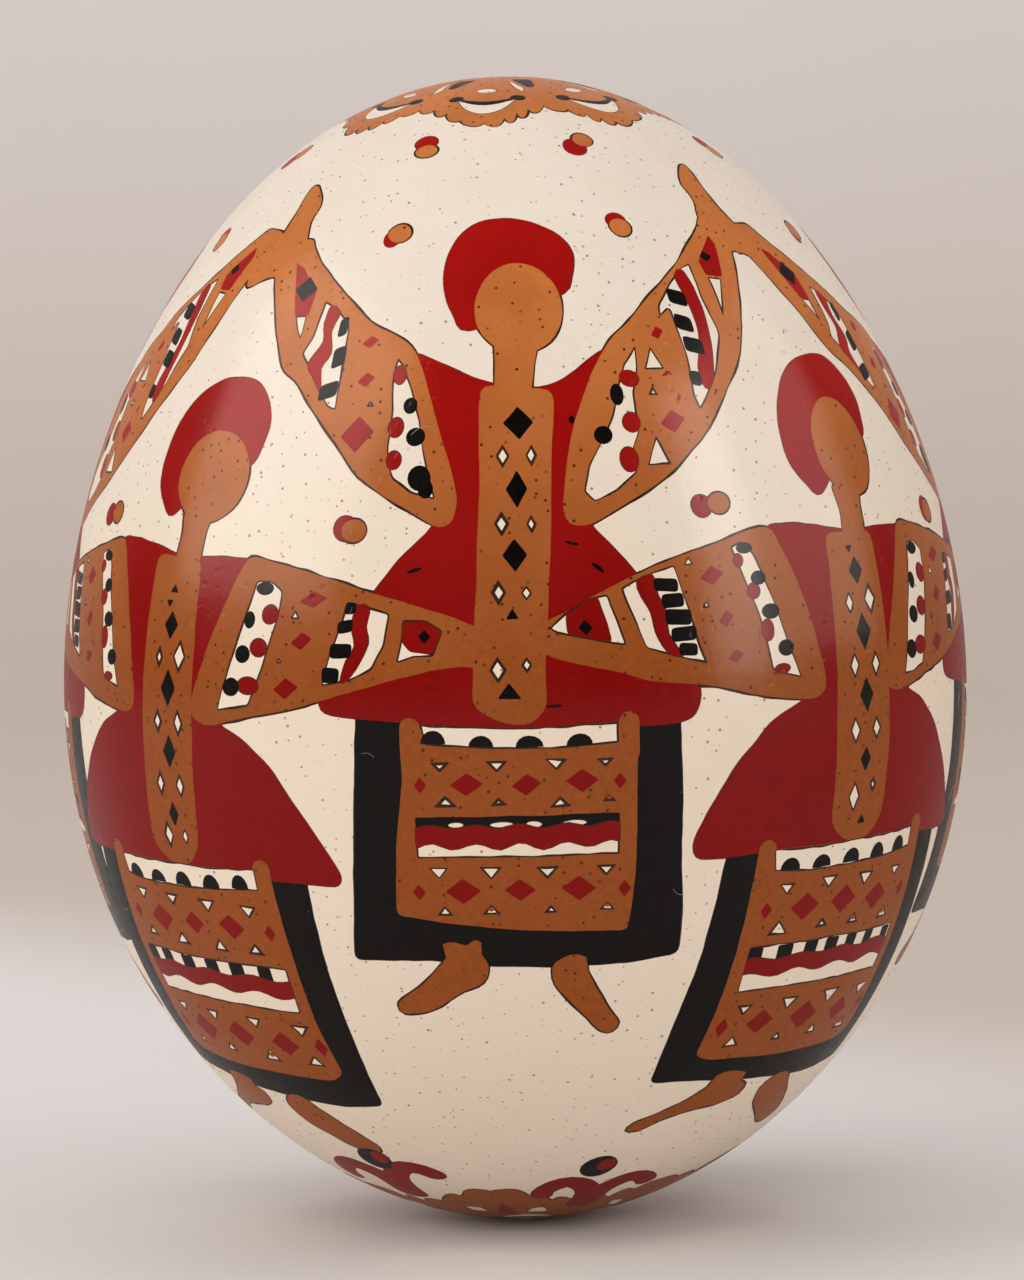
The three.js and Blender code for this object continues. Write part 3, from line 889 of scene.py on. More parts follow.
crown = Motif("crownRosette", 0, seed=40)
crown.dye("Orange", scalloped(crownRosette, fromCrown))
eyePetals(crown, crownRosette, 1.0, fromCrown, crownRosette["firstSwell"])
ring, star = crownRosette["middleMm"], crownRosette["starPoints"] * 2
crown.keep([(360 / star * k, ring) for k in range(star)])
crown.dyeInCell("Red", [(360 / star * k, crownRosette["starMm"] - crownRosette["starNotchMm"] * (k % 2))
                        for k in range(star)])
crown.dye("Black", [(30 * k, crownRosette["heartMm"]) for k in range(12)], onGround=False)

# ---- the rosette round the base, with pairs of ram's horns

baseRosette = {
    "edgeMm": 9.2,
    "scallops": 36,
    "scallopMm": 0.7,
    "swellMm": 1.0,
    "swells": 6,
    "firstSwell": -10,
    "petals": 6,
    # where each pair of horns stands, how far it is moved up or down, and its bud moved right and down
    "horns": [(-40, -1.5, 5.5, 0.75), (20.5, 0.0, 0, 0), (80, -0.6, 1, 0.2), (140, 0.1, -1, 0),
              (200, -0.4, 2, 0.3), (260, -0.2, 0, 0.1)],
    "leftHorn": [(-0.5, 72.2), (-1.5, 70.6), (-4.5, 69.65), (-9, 69.1), (-13.5, 69.55), (-16.0, 70.2),
                 (-16.2, 70.6)],
    "rightHorn": [(0.5, 72.2), (2.5, 70.5), (5.5, 69.5), (9.5, 69.0), (13.5, 69.2), (16, 69.65)],
    "hornMm": (1.35, 1.05),
    "bud": (-3, 67.6, 4.3, 1.0, 12),
    "budHeart": (-1.2, 67.45, 2.2, 0.58, 10),
    # between two pairs of horns: a red tooth and two kept flecks
    "tooth": [(24, 74.3), (30.5, 71.7), (37, 74.3)],
    "flecks": [[(14, 72.4), (21, 72.6), (22.5, 73.6), (15, 73.3)],
               [(39, 73.6), (42, 72.6), (47, 72.6), (50, 73.6)]],
}


def fromBase(depth):
    return ruler.length - depth


base = Motif("baseRosette", 0, seed=50)
# the base is the far edge of the flat sheet, so its rosette is all that lies outside a scalloped loop of ground
groundEdge = base.loop(scalloped(baseRosette, fromBase))
groundShapes.append(("edgeLines", grown(groundEdge, hand["lineMm"]["Orange"])))
groundShapes.append(("ivoryGround", groundEdge))
for k, (around, drop, budAcross, budDrop) in enumerate(baseRosette["horns"]):
    horns = Motif("baseRosette", around, drop, seed=60 + k)
    horns.dye("Red", stroke(baseRosette["leftHorn"], *baseRosette["hornMm"]))
    horns.dye("Red", stroke(baseRosette["rightHorn"], *baseRosette["hornMm"]))
    for colour, part in (("Black", "bud"), ("Red", "budHeart")):
        at, down, across, tall, tilt = baseRosette[part]
        budOval = oval(at + budAcross, down + budDrop, across, tall, tilt)
        horns.dye(colour, budOval, onGround=colour == "Black")
    horns.dye("Red", cut([(x, y - drop) for x, y in baseRosette["tooth"]], 0.2), onGround=False)
    for fleck in baseRosette["flecks"]:
        horns.keep(cut([(x, y - drop) for x, y in fleck], 0.25), 0.07)
eyePetals(base, baseRosette, 0.66, fromBase)

print("pattern: %d shapes" % (len(edgeShapes) + len(paintedShapes)))

# ---- the flat sheet is cut into dyed patches along every outline

sheet = {
    "gridMm": 0.8,
    "rimPoints": 60,
}


def rimDown():
    low, high = ruler.length * 0.9, ruler.length
    for step in range(40):
        middle = (low + high) / 2
        low, high = (middle, high) if radiusAt(middle) > eggForm["holeRadiusMm"] else (low, middle)
    return low


def isInside(loop, x, y):
    # true where the loop winds counter-clockwise, so a shape that shrinks to nothing paints nothing
    wound = np.zeros(len(x), int)
    for (ax, ay), (bx, by) in zip(loop, loop[1:] + loop[:1]):
        side = (bx - ax) * (y - ay) - (x - ax) * (by - ay)
        wound += (ay <= y) & (by > y) & (side > 0)
        wound -= (ay > y) & (by <= y) & (side < 0)
    return wound > 0


def makeSheet():
    shapes = groundShapes + edgeShapes + paintedShapes
    spots, lines = [], []
    for name, loop in shapes:
        first, count = len(spots), len(loop)
        spots += loop
        lines += [(first + k, first + (k + 1) % count) for k in range(count)]
    rim = rimDown()
    spots += [toSheet((360 * k / sheet["rimPoints"], rim)) for k in range(sheet["rimPoints"])]
    rings = int(rim / sheet["gridMm"])
    for ring in range(1, rings):
        down = rim * ring / rings
        count = max(6, round(2 * math.pi * radiusAt(down) / sheet["gridMm"]))
        spots += [toSheet((360 * (k + ring % 2 / 2) / count, down)) for k in range(count)]
    spots.append((0, 0))
    points, _, triangles, _, _, _ = delaunay_2d_cdt([Vector(spot) for spot in spots], lines, [], 0, 1e-6)
    flat = np.array([tuple(point) for point in points])
    corners = np.array(triangles)
    middle = flat[corners].mean(axis=1)
    owner = np.full(len(corners), -1)
    for k, (name, loop) in enumerate(shapes):
        outline = np.array(loop)
        low, high = outline.min(axis=0), outline.max(axis=0)
        near = np.nonzero(((middle > low) & (middle < high)).all(axis=1))[0]
        owner[near[isInside(loop, middle[near, 0], middle[near, 1])]] = k
    patches = {}
    for triangle, index in zip(triangles, owner):
        name = shapes[index][0] if index >= 0 else "baseRosetteOrange"
        patches.setdefault(name, []).append(tuple(triangle))
    return points, patches


sheetPoints, patches = makeSheet()
print("sheet: %d points cut into %d patches" % (len(sheetPoints), len(patches)))

# ---- node helpers


def add(tree, kind, settings=None, inputs=None):
    made = tree.nodes.new(kind)
    for name, value in (settings or {}).items():
        setattr(made, name, value)
    for name, value in (inputs or {}).items():
        if isinstance(value, Field):
            value = value.socket
        if isinstance(value, bpy.types.Node):
            value = value.outputs[0]
        if isinstance(value, bpy.types.NodeSocket):
            tree.links.new(value, made.inputs[name])
        else:
            made.inputs[name].default_value = value
    return made


class Field:
    # a number inside a node tree, so that a formula can be written as one
    def __init__(self, tree, socket):
        self.tree, self.socket = tree, socket

    def math(self, operation, *others):
        inputs = dict(enumerate((self,) + others))
        return Field(self.tree, add(self.tree, "ShaderNodeMath", {"operation": operation}, inputs).outputs[0])

    def __add__(self, other):
        return self.math("ADD", other)

    def __sub__(self, other):
        return self.math("SUBTRACT", other)

    def __mul__(self, other):
        return self.math("MULTIPLY", other)

    def __truediv__(self, other):
        return self.math("DIVIDE", other)


def newTree(name, inputs):
    tree = bpy.data.node_groups.new(name, "GeometryNodeTree")
    tree.interface.new_socket("Geometry", in_out="OUTPUT", socket_type="NodeSocketGeometry")
    for socketName, kind in inputs.items():
        tree.interface.new_socket(socketName, in_out="INPUT", socket_type="NodeSocket" + kind)
    return tree, add(tree, "NodeGroupInput").outputs


def finishTree(tree, geometry, material):
    realized = add(tree, "GeometryNodeRealizeInstances", None, {0: geometry})
    painted = add(tree, "GeometryNodeSetMaterial", None, {"Geometry": realized, "Material": material})
    add(tree, "NodeGroupOutput", None, {0: painted})


# Runs the tree on the object once and keeps the result as a plain mesh
def grow(piece, tree, values):
    modifier = piece.modifiers.new(tree.name, "NODES")
    modifier.node_group = tree
    for item in tree.interface.items_tree:
        if item.in_out == "INPUT" and item.name in values:
            modifier[item.identifier] = values[item.name]
    bpy.context.view_layer.update()
    result = bpy.data.meshes.new_from_object(piece.evaluated_get(bpy.context.evaluated_depsgraph_get()))
    piece.modifiers.remove(modifier)
    piece.data = result
    result.name = piece.name
    return piece


def newPiece(name, mesh=None):
    piece = bpy.data.objects.new(name, mesh or bpy.data.meshes.new(name))
    scene.collection.objects.link(piece)
    return piece


# ---- wrapping a flat patch on the egg

def makeEggWrap():
    tree, given = newTree("eggWrap", {
        "Geometry": "Geometry", "Height": "Float", "Radius Scale": "Float", "Taper": "Float", "Shoulder": "Float",
        "Fullness": "Float", "Thickness": "Float", "Material": "Material"})
    turn, around, inset = (
        Field(tree, add(tree, "GeometryNodeInputNamedAttribute", {"data_type": "FLOAT"}, {"Name": name}).outputs[0])
        for name in ("turn", "around", "inset"))
    taper, shoulder, fullness = (Field(tree, given[name]) for name in ("Taper", "Shoulder", "Fullness"))
    halfHeight = Field(tree, given["Height"]) * 0.5
    scale = Field(tree, given["Radius Scale"])
    level = turn.math("COSINE") * -1
    sine = turn.math("SINE")
    swell = (taper * level * -1 + 1) - shoulder * level * level + fullness * level * level * level
    swellChange = (taper * -1) - shoulder * level * 2 + fullness * level * level * 3
    radius = scale * sine * swell
    height = (level + 1) * halfHeight
    outward = scale * (level * -1 * swell + sine * sine * swellChange)
    upward = halfHeight * sine
    size = (outward * outward + upward * upward).math("SQRT")
    depth = inset * given["Thickness"]
    radius = radius - upward / size * depth
    height = height + outward / size * depth
    place = add(tree, "ShaderNodeCombineXYZ", None, {
        0: radius * around.math("SINE"), 1: radius * around.math("COSINE") * -1, 2: height})
    wrapped = add(tree, "GeometryNodeSetPosition", None, {"Geometry": given["Geometry"], "Position": place})
    smooth = add(tree, "GeometryNodeSetShadeSmooth", None, {0: wrapped})
    finishTree(tree, smooth, given["Material"])
    return tree


def outwardNormal(turn, around):
    delta = 1e-4
    low, high = formPoint(max(turn - delta, 0)), formPoint(min(turn + delta, math.pi))
    rise, run = high[1] - low[1], high[0] - low[0]
    size = math.hypot(rise, run)
    return Vector((rise / size * math.sin(around), -rise / size * math.cos(around), -run / size))


# A closed tile: the patch, the same patch turned over beneath it, and a wall along its edge
def tileMesh(name, triangles):
    corner = {}

    def find(key):
        while corner[key] != key:
            corner[key] = corner[corner[key]]
            key = corner[key]
        return key

    edges = {}
    for t, triangle in enumerate(triangles):
        for k in range(3):
            corner[(t, triangle[k])] = (t, triangle[k])
            a, b = triangle[k], triangle[(k + 1) % 3]
            edges.setdefault((min(a, b), max(a, b)), []).append(t)
    for (a, b), users in edges.items():
        if len(users) == 2:
            for point in (a, b):
                corner[find((users[0], point))] = find((users[1], point))
    number = {}
    faces = []
    for t, triangle in enumerate(triangles):
        faces.append([number.setdefault(find((t, point)), len(number)) for point in triangle])
    count = len(number)
    walls = []
    for t, triangle in enumerate(triangles):
        for k in range(3):
            a, b = triangle[k], triangle[(k + 1) % 3]
            if len(edges[(min(a, b), max(a, b))]) == 1:
                first, second = number[find((t, a))], number[find((t, b))]
                walls.append([second, first, first + count, second + count])
    under = [[c + count, b + count, a + count] for a, b, c in faces]
    flat = [sheetPoints[key[1]] for key in number]
    mesh = bpy.data.meshes.new(name)
    mesh.from_pydata([(x, y, 0) for x, y in flat] * 2, [], faces + under + walls)
    turns, arounds = [], []
    for x, y in flat:
        reach = math.log(max(math.hypot(x, y), math.exp(ruler.spread[0])))
        # the middle of the sheet is the crown itself
        isCrown = abs(x) + abs(y) < 1e-6
        turns.append(math.pi if isCrown else ruler.value(ruler.turn, ruler.spread, reach))
        arounds.append(math.atan2(x, -y))
    insets = [0] * count + [1] * count
    for attribute, values in (("turn", turns * 2), ("around", arounds * 2), ("inset", insets)):
        mesh.attributes.new(attribute, "FLOAT", "POINT").data.foreach_set("value", values)
    normals = [outwardNormal(turn, around) for turn, around in zip(turns, arounds)]
    return mesh, normals + [-normal for normal in normals]


# ---- colours and materials

def linear(hexColour):
    channels = [int(hexColour[k:k + 2], 16) / 255 for k in (1, 3, 5)]
    return tuple(c / 12.92 if c <= 0.04045 else ((c + 0.055) / 1.055) ** 2.4 for c in channels) + (1,)


def perMm(size):
    # texture scale for a pattern whose cells are this many millimetres across
    return 1 / (size * mm)


def newMaterial(name):
    material = bpy.data.materials.new(name)
    material.use_nodes = True
    tree = material.node_tree
    tree.nodes.clear()
    surface = add(tree, "ShaderNodeBsdfPrincipled")
    add(tree, "ShaderNodeOutputMaterial", None, {"Surface": surface})
    return material, tree, surface


def mixColour(tree, share, a, b):
    made = add(tree, "ShaderNodeMix", {"data_type": "RGBA", "blend_type": "MIX"}, {0: share, 6: a, 7: b})
    return made.outputs[2]


def ramp(tree, value, low, high):
    # 0 below low, 1 above high, smooth between; low may be the larger
    made = add(tree, "ShaderNodeMapRange", {"interpolation_type": "SMOOTHSTEP"}, {
        "Value": value, "From Min": low, "From Max": high})
    return Field(tree, made.outputs[0])


def grain(tree, place, sizeMm, detail=3, roughness=0.5, seed=0.0):
    made = add(tree, "ShaderNodeTexNoise", {"noise_dimensions": "4D"}, {
        "Vector": place, "W": seed, "Scale": perMm(sizeMm), "Detail": detail, "Roughness": roughness})
    return Field(tree, made.outputs[0])


def spots(tree, place, cellMm, radiusMm, softMm):
    # small round spots, one in most cells
    made = add(tree, "ShaderNodeTexVoronoi", None, {"Vector": place, "Scale": perMm(cellMm)})
    far = Field(tree, made.outputs["Distance"])
    return ramp(tree, far, (radiusMm + softMm) / cellMm, radiusMm / cellMm), made


# each look's low colour is painted shade, taken on towards the base; on the dyes it also stands for deeper dye
shellLooks = {
    # wax kept all dye off the bare shell: pale, faintly clouded, with brown pores
    "natural_ground": {
        "name": "waxResistBareShellVarnished", "colour": "#eae0d5", "cloud": "#e1d3c4", "low": "#e8d8c4",
        "cloudMm": 7.0, "cloudShare": 0.35, "fleck": "#957a6c", "fleckCellMm": 0.55, "fleckMm": 0.042,
        "mottleMm": 0.9, "mottleShare": 0.15, "roughness": 0.36},
    # brushed-on orange dye lets the shell glow through and gathers brown in the pores
    "orange_dye": {
        "name": "brushedOrangeDyeVarnished", "colour": "#c8783f", "cloud": "#ac5e27", "low": "#783507",
        "cloudMm": 5.0, "cloudShare": 0.5, "fleck": "#4a220d", "fleckCellMm": 0.42, "fleckMm": 0.05,
        "mottleMm": 0.3, "mottleShare": 0.3, "roughness": 0.38},
    # the red dye bath leaves a deep, slightly streaked colour
    "red_dye": {
        "name": "bathDyedRedVarnished", "colour": "#ab0c06", "cloud": "#8d0502", "low": "#6c0100",
        "cloudMm": 6.0, "cloudShare": 0.6, "fleck": "#4a0302", "fleckCellMm": 0.9, "fleckMm": 0.04,
        "mottleMm": 0.5, "mottleShare": 0.4, "roughness": 0.38},
    # the last bath covers everything not waxed: near black, brown where it is thin
    "black_dye": {
        "name": "bathDyedBlackVarnished", "colour": "#090706", "cloud": "#130c09", "low": "#080605",
        "cloudMm": 4.0, "cloudShare": 0.6, "fleck": "#4a2c1e", "fleckCellMm": 1.6, "fleckMm": 0.045,
        "mottleMm": 0.5, "mottleShare": 0.5, "roughness": 0.4},
    # a thin dark line where the black bath crept under the edge of the wax
    "edge_line": {
        "name": "creptBlackDyeVarnished", "colour": "#553523", "cloud": "#25170f", "low": "#352116",
        "cloudMm": 0.8, "cloudShare": 1.0, "fleck": "#1a100b", "fleckCellMm": 0.8, "fleckMm": 0.05,
        "mottleMm": 0.3, "mottleShare": 0.6, "roughness": 0.4},
}

varnish = {
    "peelMm": 1.1,  # long soft waves left by the brush
    "peelHeightMm": 0.012,
    "grainMm": 0.32,  # the shell's own grain, read through the varnish
    "grainHeightMm": 0.0035,
    "poreCellMm": 0.8,
    "poreMm": 0.07,
    "poreHeightMm": 0.006,
    "coat": 0.24,
    "coatRoughness": 0.17,
    "gloss": 0.03,
    "lowFromMm": 50.0,  # painted shade: colours darken towards the base, where less light falls, partly dye that ran down and dried deeper
    "lowToMm": 25.0,
}


def shellMaterial(look):
    material, tree, surface = newMaterial(look["name"])
    place = add(tree, "ShaderNodeTexCoord").outputs["Object"]
    height = Field(tree, add(tree, "ShaderNodeSeparateXYZ", None, {0: place}).outputs[2])
    cloud = ramp(tree, grain(tree, place, look["cloudMm"], 5, 0.6), 0.35, 0.68)
    mottle = ramp(tree, grain(tree, place, look["mottleMm"], 4, 0.6, 3.0), 0.4, 0.72)
    fleck, cells = spots(tree, place, look["fleckCellMm"], look["fleckMm"], 0.05)
    fleckShow = ramp(tree, Field(tree, add(tree, "ShaderNodeSeparateXYZ", None, {
        0: cells.outputs["Color"]}).outputs[0]), 0.35, 0.8)
    colour = mixColour(tree, cloud * look["cloudShare"], linear(look["colour"]), linear(look["cloud"]))
    # painted shade: each colour turns towards its low colour lower down the egg
    paintedShadeShare = ramp(tree, height, varnish["lowFromMm"] * mm, varnish["lowToMm"] * mm)
    colour = mixColour(tree, paintedShadeShare * 0.8, colour, linear(look["low"]))
    colour = mixColour(tree, mottle * look["mottleShare"], colour, linear(look["cloud"]))
    colour = mixColour(tree, fleck * fleckShow, colour, linear(look["fleck"]))
    rough = mottle * 0.12 + look["roughness"] + fleck * 0.1
    pore, _ = spots(tree, place, varnish["poreCellMm"], varnish["poreMm"], 0.12)
    heights = (grain(tree, place, varnish["peelMm"], 2, 0.4, 5.0) * (varnish["peelHeightMm"] * mm)
               + grain(tree, place, varnish["grainMm"], 3, 0.6, 9.0) * (varnish["grainHeightMm"] * mm)
               - pore * (varnish["poreHeightMm"] * mm))
    bump = add(tree, "ShaderNodeBump", None, {"Strength": 1.0, "Distance": 1.0, "Height": heights})
    for name, value in (("Base Color", colour), ("Roughness", rough.socket), ("Normal", bump.outputs[0]),
                        ("Coat Normal", bump.outputs[0])):
        tree.links.new(value, surface.inputs[name])
    surface.inputs["Specular IOR Level"].default_value = varnish["gloss"]
    surface.inputs["Coat Weight"].default_value = varnish["coat"]
    surface.inputs["Coat Roughness"].default_value = varnish["coatRoughness"]
    surface.inputs["Coat IOR"].default_value = 1.5
    return material


shellMaterials = {slot: shellMaterial(look) for slot, look in shellLooks.items()}

# ---- the tiles

slotOf = {"Ivory": "natural_ground", "Orange": "orange_dye", "Red": "red_dye", "Black": "black_dye"}
eggWrap = makeEggWrap()
wrapInputs = {
    "Height": eggForm["heightMm"] * mm,
    "Radius Scale": eggForm["radiusScaleMm"] * mm,
    "Taper": eggForm["crownTaper"],
    "Shoulder": eggForm["shoulderPull"],
    "Fullness": eggForm["tipFullness"],
    "Thickness": eggForm["layerMm"] * mm,
}

tiles = {}
triangleCount = 0
for name in sorted(patches):
    slotName = "natural_ground" if name == "ivoryGround" else "edge_line" if name == "edgeLines" else next(
        slotOf[dye] for dye in slotOf if name.endswith(dye))
    mesh, normals = tileMesh(name, patches[name])
    tile = grow(newPiece(name, mesh), eggWrap, dict(wrapInputs, Material=shellMaterials[slotName]))
    tile.data.normals_split_custom_set_from_vertices(normals)
    for attribute in ("turn", "around", "inset"):
        tile.data.attributes.remove(tile.data.attributes[attribute])
    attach(tile, "root")
    "black_dye" if slotName == "edge_line" else slotName
    tiles[name] = tile
    triangleCount += 2 * len(tile.data.polygons)
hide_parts("varnish_coat", "dyed_cuticle")
print("tiles: %d pieces, about %d triangles" % (len(tiles), triangleCount // 2))

# ---- nibs of dye and dust caught in the varnish, and lint on the black skirts

nibs = {
    "perMm2": 0.8,
    "seed": 7,
    "smallMm": 0.022,
    "largeMm": 0.068,
    "colour": "#86655a",
    "pale": "#c0877f",
}
lint = {
    "perMm2": 0.03,
    "seed": 11,
    "shortMm": 0.5,
    "longMm": 1.3,
    "thickMm": 0.012,
    "colour": "#8d857c",
}


def speckMaterial(name, look, roughness):
    material, tree, surface = newMaterial(name)
    place = add(tree, "ShaderNodeTexCoord").outputs["Object"]
    shade = ramp(tree, grain(tree, place, 1.5, 2), 0.4, 0.6)
    fine = ramp(tree, grain(tree, place, 0.05, 2), 0.3, 0.7)
    colour = mixColour(tree, shade, linear(look["colour"]), linear(look.get("pale", "#b8b0a6")))
    tree.links.new(colour, surface.inputs["Base Color"])
    tree.links.new((fine * 0.2 + roughness).socket, surface.inputs["Roughness"])
    return material


# scatters an instance over the outer side of a patch; the instance is made by the caller in the same tree
def scatterTree(name, makeInstance):
    tree, given = newTree(name, {
        "Geometry": "Geometry", "Density": "Float", "Seed": "Int", "Smallest": "Float", "Largest": "Float",
        "Thickness": "Float", "Material": "Material"})
    normal = add(tree, "GeometryNodeInputNormal")
    position = add(tree, "GeometryNodeInputPosition")
    fromAxis = add(tree, "ShaderNodeVectorMath", {"operation": "SUBTRACT"}, {
        0: position, 1: (0, 0, eggForm["heightMm"] * mm * 0.47)})
    ray = add(tree, "ShaderNodeVectorMath", {"operation": "NORMALIZE"}, {0: fromAxis})
    facing = add(tree, "ShaderNodeVectorMath", {"operation": "DOT_PRODUCT"}, {0: normal, 1: ray}).outputs["Value"]
    outer = add(tree, "FunctionNodeCompare", {"operation": "GREATER_THAN"}, {0: facing, 1: 0.5})
    points = add(tree, "GeometryNodeDistributePointsOnFaces", None, {
        "Mesh": given["Geometry"], "Selection": outer, "Density": given["Density"], "Seed": given["Seed"]})
    size = add(tree, "FunctionNodeRandomValue", {"data_type": "FLOAT"}, {
        2: given["Smallest"], 3: given["Largest"], "Seed": given["Seed"]})
    spin = add(tree, "FunctionNodeRandomValue", {"data_type": "FLOAT"}, {2: 0.0, 3: 2 * math.pi, "Seed": 5})
    turned = add(tree, "FunctionNodeRotateRotation", {"rotation_space": "LOCAL"}, {
        0: points.outputs["Rotation"],
        1: add(tree, "FunctionNodeAxisAngleToRotation", None, {"Axis": (0, 0, 1), "Angle": spin.outputs[1]})})
    placed = add(tree, "GeometryNodeInstanceOnPoints", None, {
        "Points": points.outputs["Points"], "Instance": makeInstance(tree, given), "Rotation": turned,
        "Scale": size.outputs[1]})
    finishTree(tree, placed, given["Material"])
    return tree


def nibInstance(tree, given):
    ball = add(tree, "GeometryNodeMeshIcoSphere", None, {"Radius": 1.0, "Subdivisions": 1})
    flat = add(tree, "GeometryNodeTransform", None, {"Geometry": ball, "Scale": (1.0, 0.8, 0.22)})
    return add(tree, "GeometryNodeSetShadeSmooth", None, {0: flat})


def fibreInstance(tree, given):
    path = add(tree, "GeometryNodeCurveQuadraticBezier", None, {
        "Resolution": 7, "Start": (-0.5, 0, 0), "Middle": (0.05, 0.3, 0.02), "End": (0.5, -0.1, 0)})
    ring = add(tree, "GeometryNodeCurvePrimitiveCircle", None, {"Resolution": 4, "Radius": given["Thickness"]})
    return add(tree, "GeometryNodeCurveToMesh", None, {"Curve": path, "Profile Curve": ring, "Fill Caps": True})


def joined(name, parts):
    sheetMesh = bmesh.new()
    for part in parts:
        sheetMesh.from_mesh(part.data)
    mesh = bpy.data.meshes.new(name)
    sheetMesh.to_mesh(mesh)
    sheetMesh.free()
    return mesh


def scatter(name, parts, tree, look, material):
    piece = grow(newPiece(name, joined(name, parts)), tree, {
        "Density": look["perMm2"] / mm ** 2, "Seed": look["seed"], "Material": material,
        "Smallest": look.get("smallMm", look.get("shortMm")) * mm,
        "Largest": look.get("largeMm", look.get("longMm")) * mm,
        "Thickness": look.get("thickMm", 1.0) / look.get("longMm", 1.0)})
    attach(piece, "root")
    print("%s: %d faces" % (name, len(piece.data.polygons)))


# specks of dried dye under the varnish: dull, brown to pink
scatter("dyeNibs", [tiles["ivoryGround"]], scatterTree("nibScatter", nibInstance), nibs,
        speckMaterial("driedDyeNibs", nibs, 0.5))
# pale lint pressed into the varnish while it was wet
scatter("lintFibres", [tile for name, tile in tiles.items() if name.endswith("Black")],
        scatterTree("lintScatter", fibreInstance), lint, speckMaterial("varnishedLint", lint, 0.45))

# ---- shell, membranes and plug keep their CAD shape

innerLooks = {
    # chalky calcite crystals, bare on the inside of the shell
    "shell": {"name": "blownEggshellCalcite", "colour": "#efe3d2", "cloud": "#dccbb4", "cloudMm": 3.0,
              "grainMm": 0.15, "grainHeightMm": 0.01, "roughness": 0.75, "weight": 0.0},
    # dried egg membrane, a thin satin film of crossed fibres
    "outer_membrane": {"name": "driedEggMembraneOuter", "colour": "#e8dcc8", "cloud": "#cfbc9f", "cloudMm": 2.0,
                       "grainMm": 0.08, "grainHeightMm": 0.004, "roughness": 0.5, "weight": 0.2},
    "inner_membrane": {"name": "driedEggMembraneInner", "colour": "#e4d4b8", "cloud": "#c7ac85", "cloudMm": 2.5,
                       "grainMm": 0.08, "grainHeightMm": 0.004, "roughness": 0.45, "weight": 0.25},
    # beeswax pressed in warm and rubbed smooth: deep yellow, waxy, with finger-soft dimples
    "hole_plug": {"name": "pressedBeeswaxPlug", "colour": "#c9993f", "cloud": "#a87424", "cloudMm": 0.8,
                  "grainMm": 0.3, "grainHeightMm": 0.012, "roughness": 0.42, "weight": 0.0},
}


def innerMaterial(look):
    material, tree, surface = newMaterial(look["name"])
    place = add(tree, "ShaderNodeTexCoord").outputs["Object"]
    cloud = ramp(tree, grain(tree, place, look["cloudMm"], 5, 0.6), 0.35, 0.68)
    fine = grain(tree, place, look["grainMm"], 4, 0.6, 2.0)
    colour = mixColour(tree, cloud, linear(look["colour"]), linear(look["cloud"]))
    colour = mixColour(tree, ramp(tree, fine, 0.5, 0.75) * 0.4, colour, linear(look["cloud"]))
    bump = add(tree, "ShaderNodeBump", None, {"Distance": 1.0, "Height": fine * (look["grainHeightMm"] * mm)})
    tree.links.new(colour, surface.inputs["Base Color"])
    tree.links.new((cloud * 0.15 + look["roughness"]).socket, surface.inputs["Roughness"])
    tree.links.new(bump.outputs[0], surface.inputs["Normal"])
    surface.inputs["Subsurface Weight"].default_value = look["weight"]
    surface.inputs["Subsurface Radius"].default_value = (0.0006, 0.0004, 0.0003)
    return material


for node, look in innerLooks.items():
    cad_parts[node].material_slots[0].material = innerMaterial(look)

# ---- floor, light and camera

studio = {
    # paper colours: near where the egg stands, far a painted shadow behind and to the right of the egg, high up the
    # wall
    "near": "#e6e5e7",
    "far": "#cdc1ba",
    "high": "#e6e2e1",
    "world": "#f6efe8",
    "worldStrength": 0.3,
    "worldSeen": 0.72,
    "sweepRadius": 0.35,
    "sweepBack": 0.75,
    "sweepHigh": 1.6,
    "sweepWide": 3.0,
    "floorRadius": 0.85,
    "lights": [
        # name, place, size, watts, colour, whether it shows as light, as gloss
        ("skyPanel", (-0.05, -0.1, 0.8), (1.0, 0.8), 1.4, "#fffaf4", True, False),
        ("keyPanel", (-0.08, -0.85, 0.3), (0.7, 0.5), 2.3, "#fff9f1", True, False),
        ("leftFill", (-0.75, -0.25, 0.32), (0.5, 0.5), 2.8, "#fffaf2", True, False),
        ("rightFill", (0.75, -0.35, 0.32), (0.5, 0.5), 1.9, "#fffaf2", True, False),
        ("rightWindow", (0.53, -0.34, 0.27), (0.17, 0.5), 2.4, "#fffaf4", False, True),
        ("rightRoom", (0.62, -0.08, 0.3), (0.5, 0.5), 2.8, "#fffaf4", False, True),
        ("leftWindow", (-0.6, -0.2, 0.45), (0.7, 0.6), 8.0, "#fff8ef", False, True),
        ("backdropWash", (0.0, 0.3, 1.0), (1.2, 0.3), 2.6, "#fbf8f8", True, False),
    ],
    "aim": (0, 0, 0.03),
}

viewpoint = {
    "target": Vector((0, 0, 0.0285)),
    "distance": 0.245,
    "elevation": 3.0,
    "roll": -1.37,
    "lens": 137.7,
    "shift": (-0.00195, 0.00703),
}


def lookAt(item, place, target, roll=0.0):
    item.location = place
    item.rotation_euler = (Vector(target) - Vector(place)).to_track_quat("-Z", "Y").to_euler()
    item.rotation_euler.rotate_axis("Z", math.radians(roll))


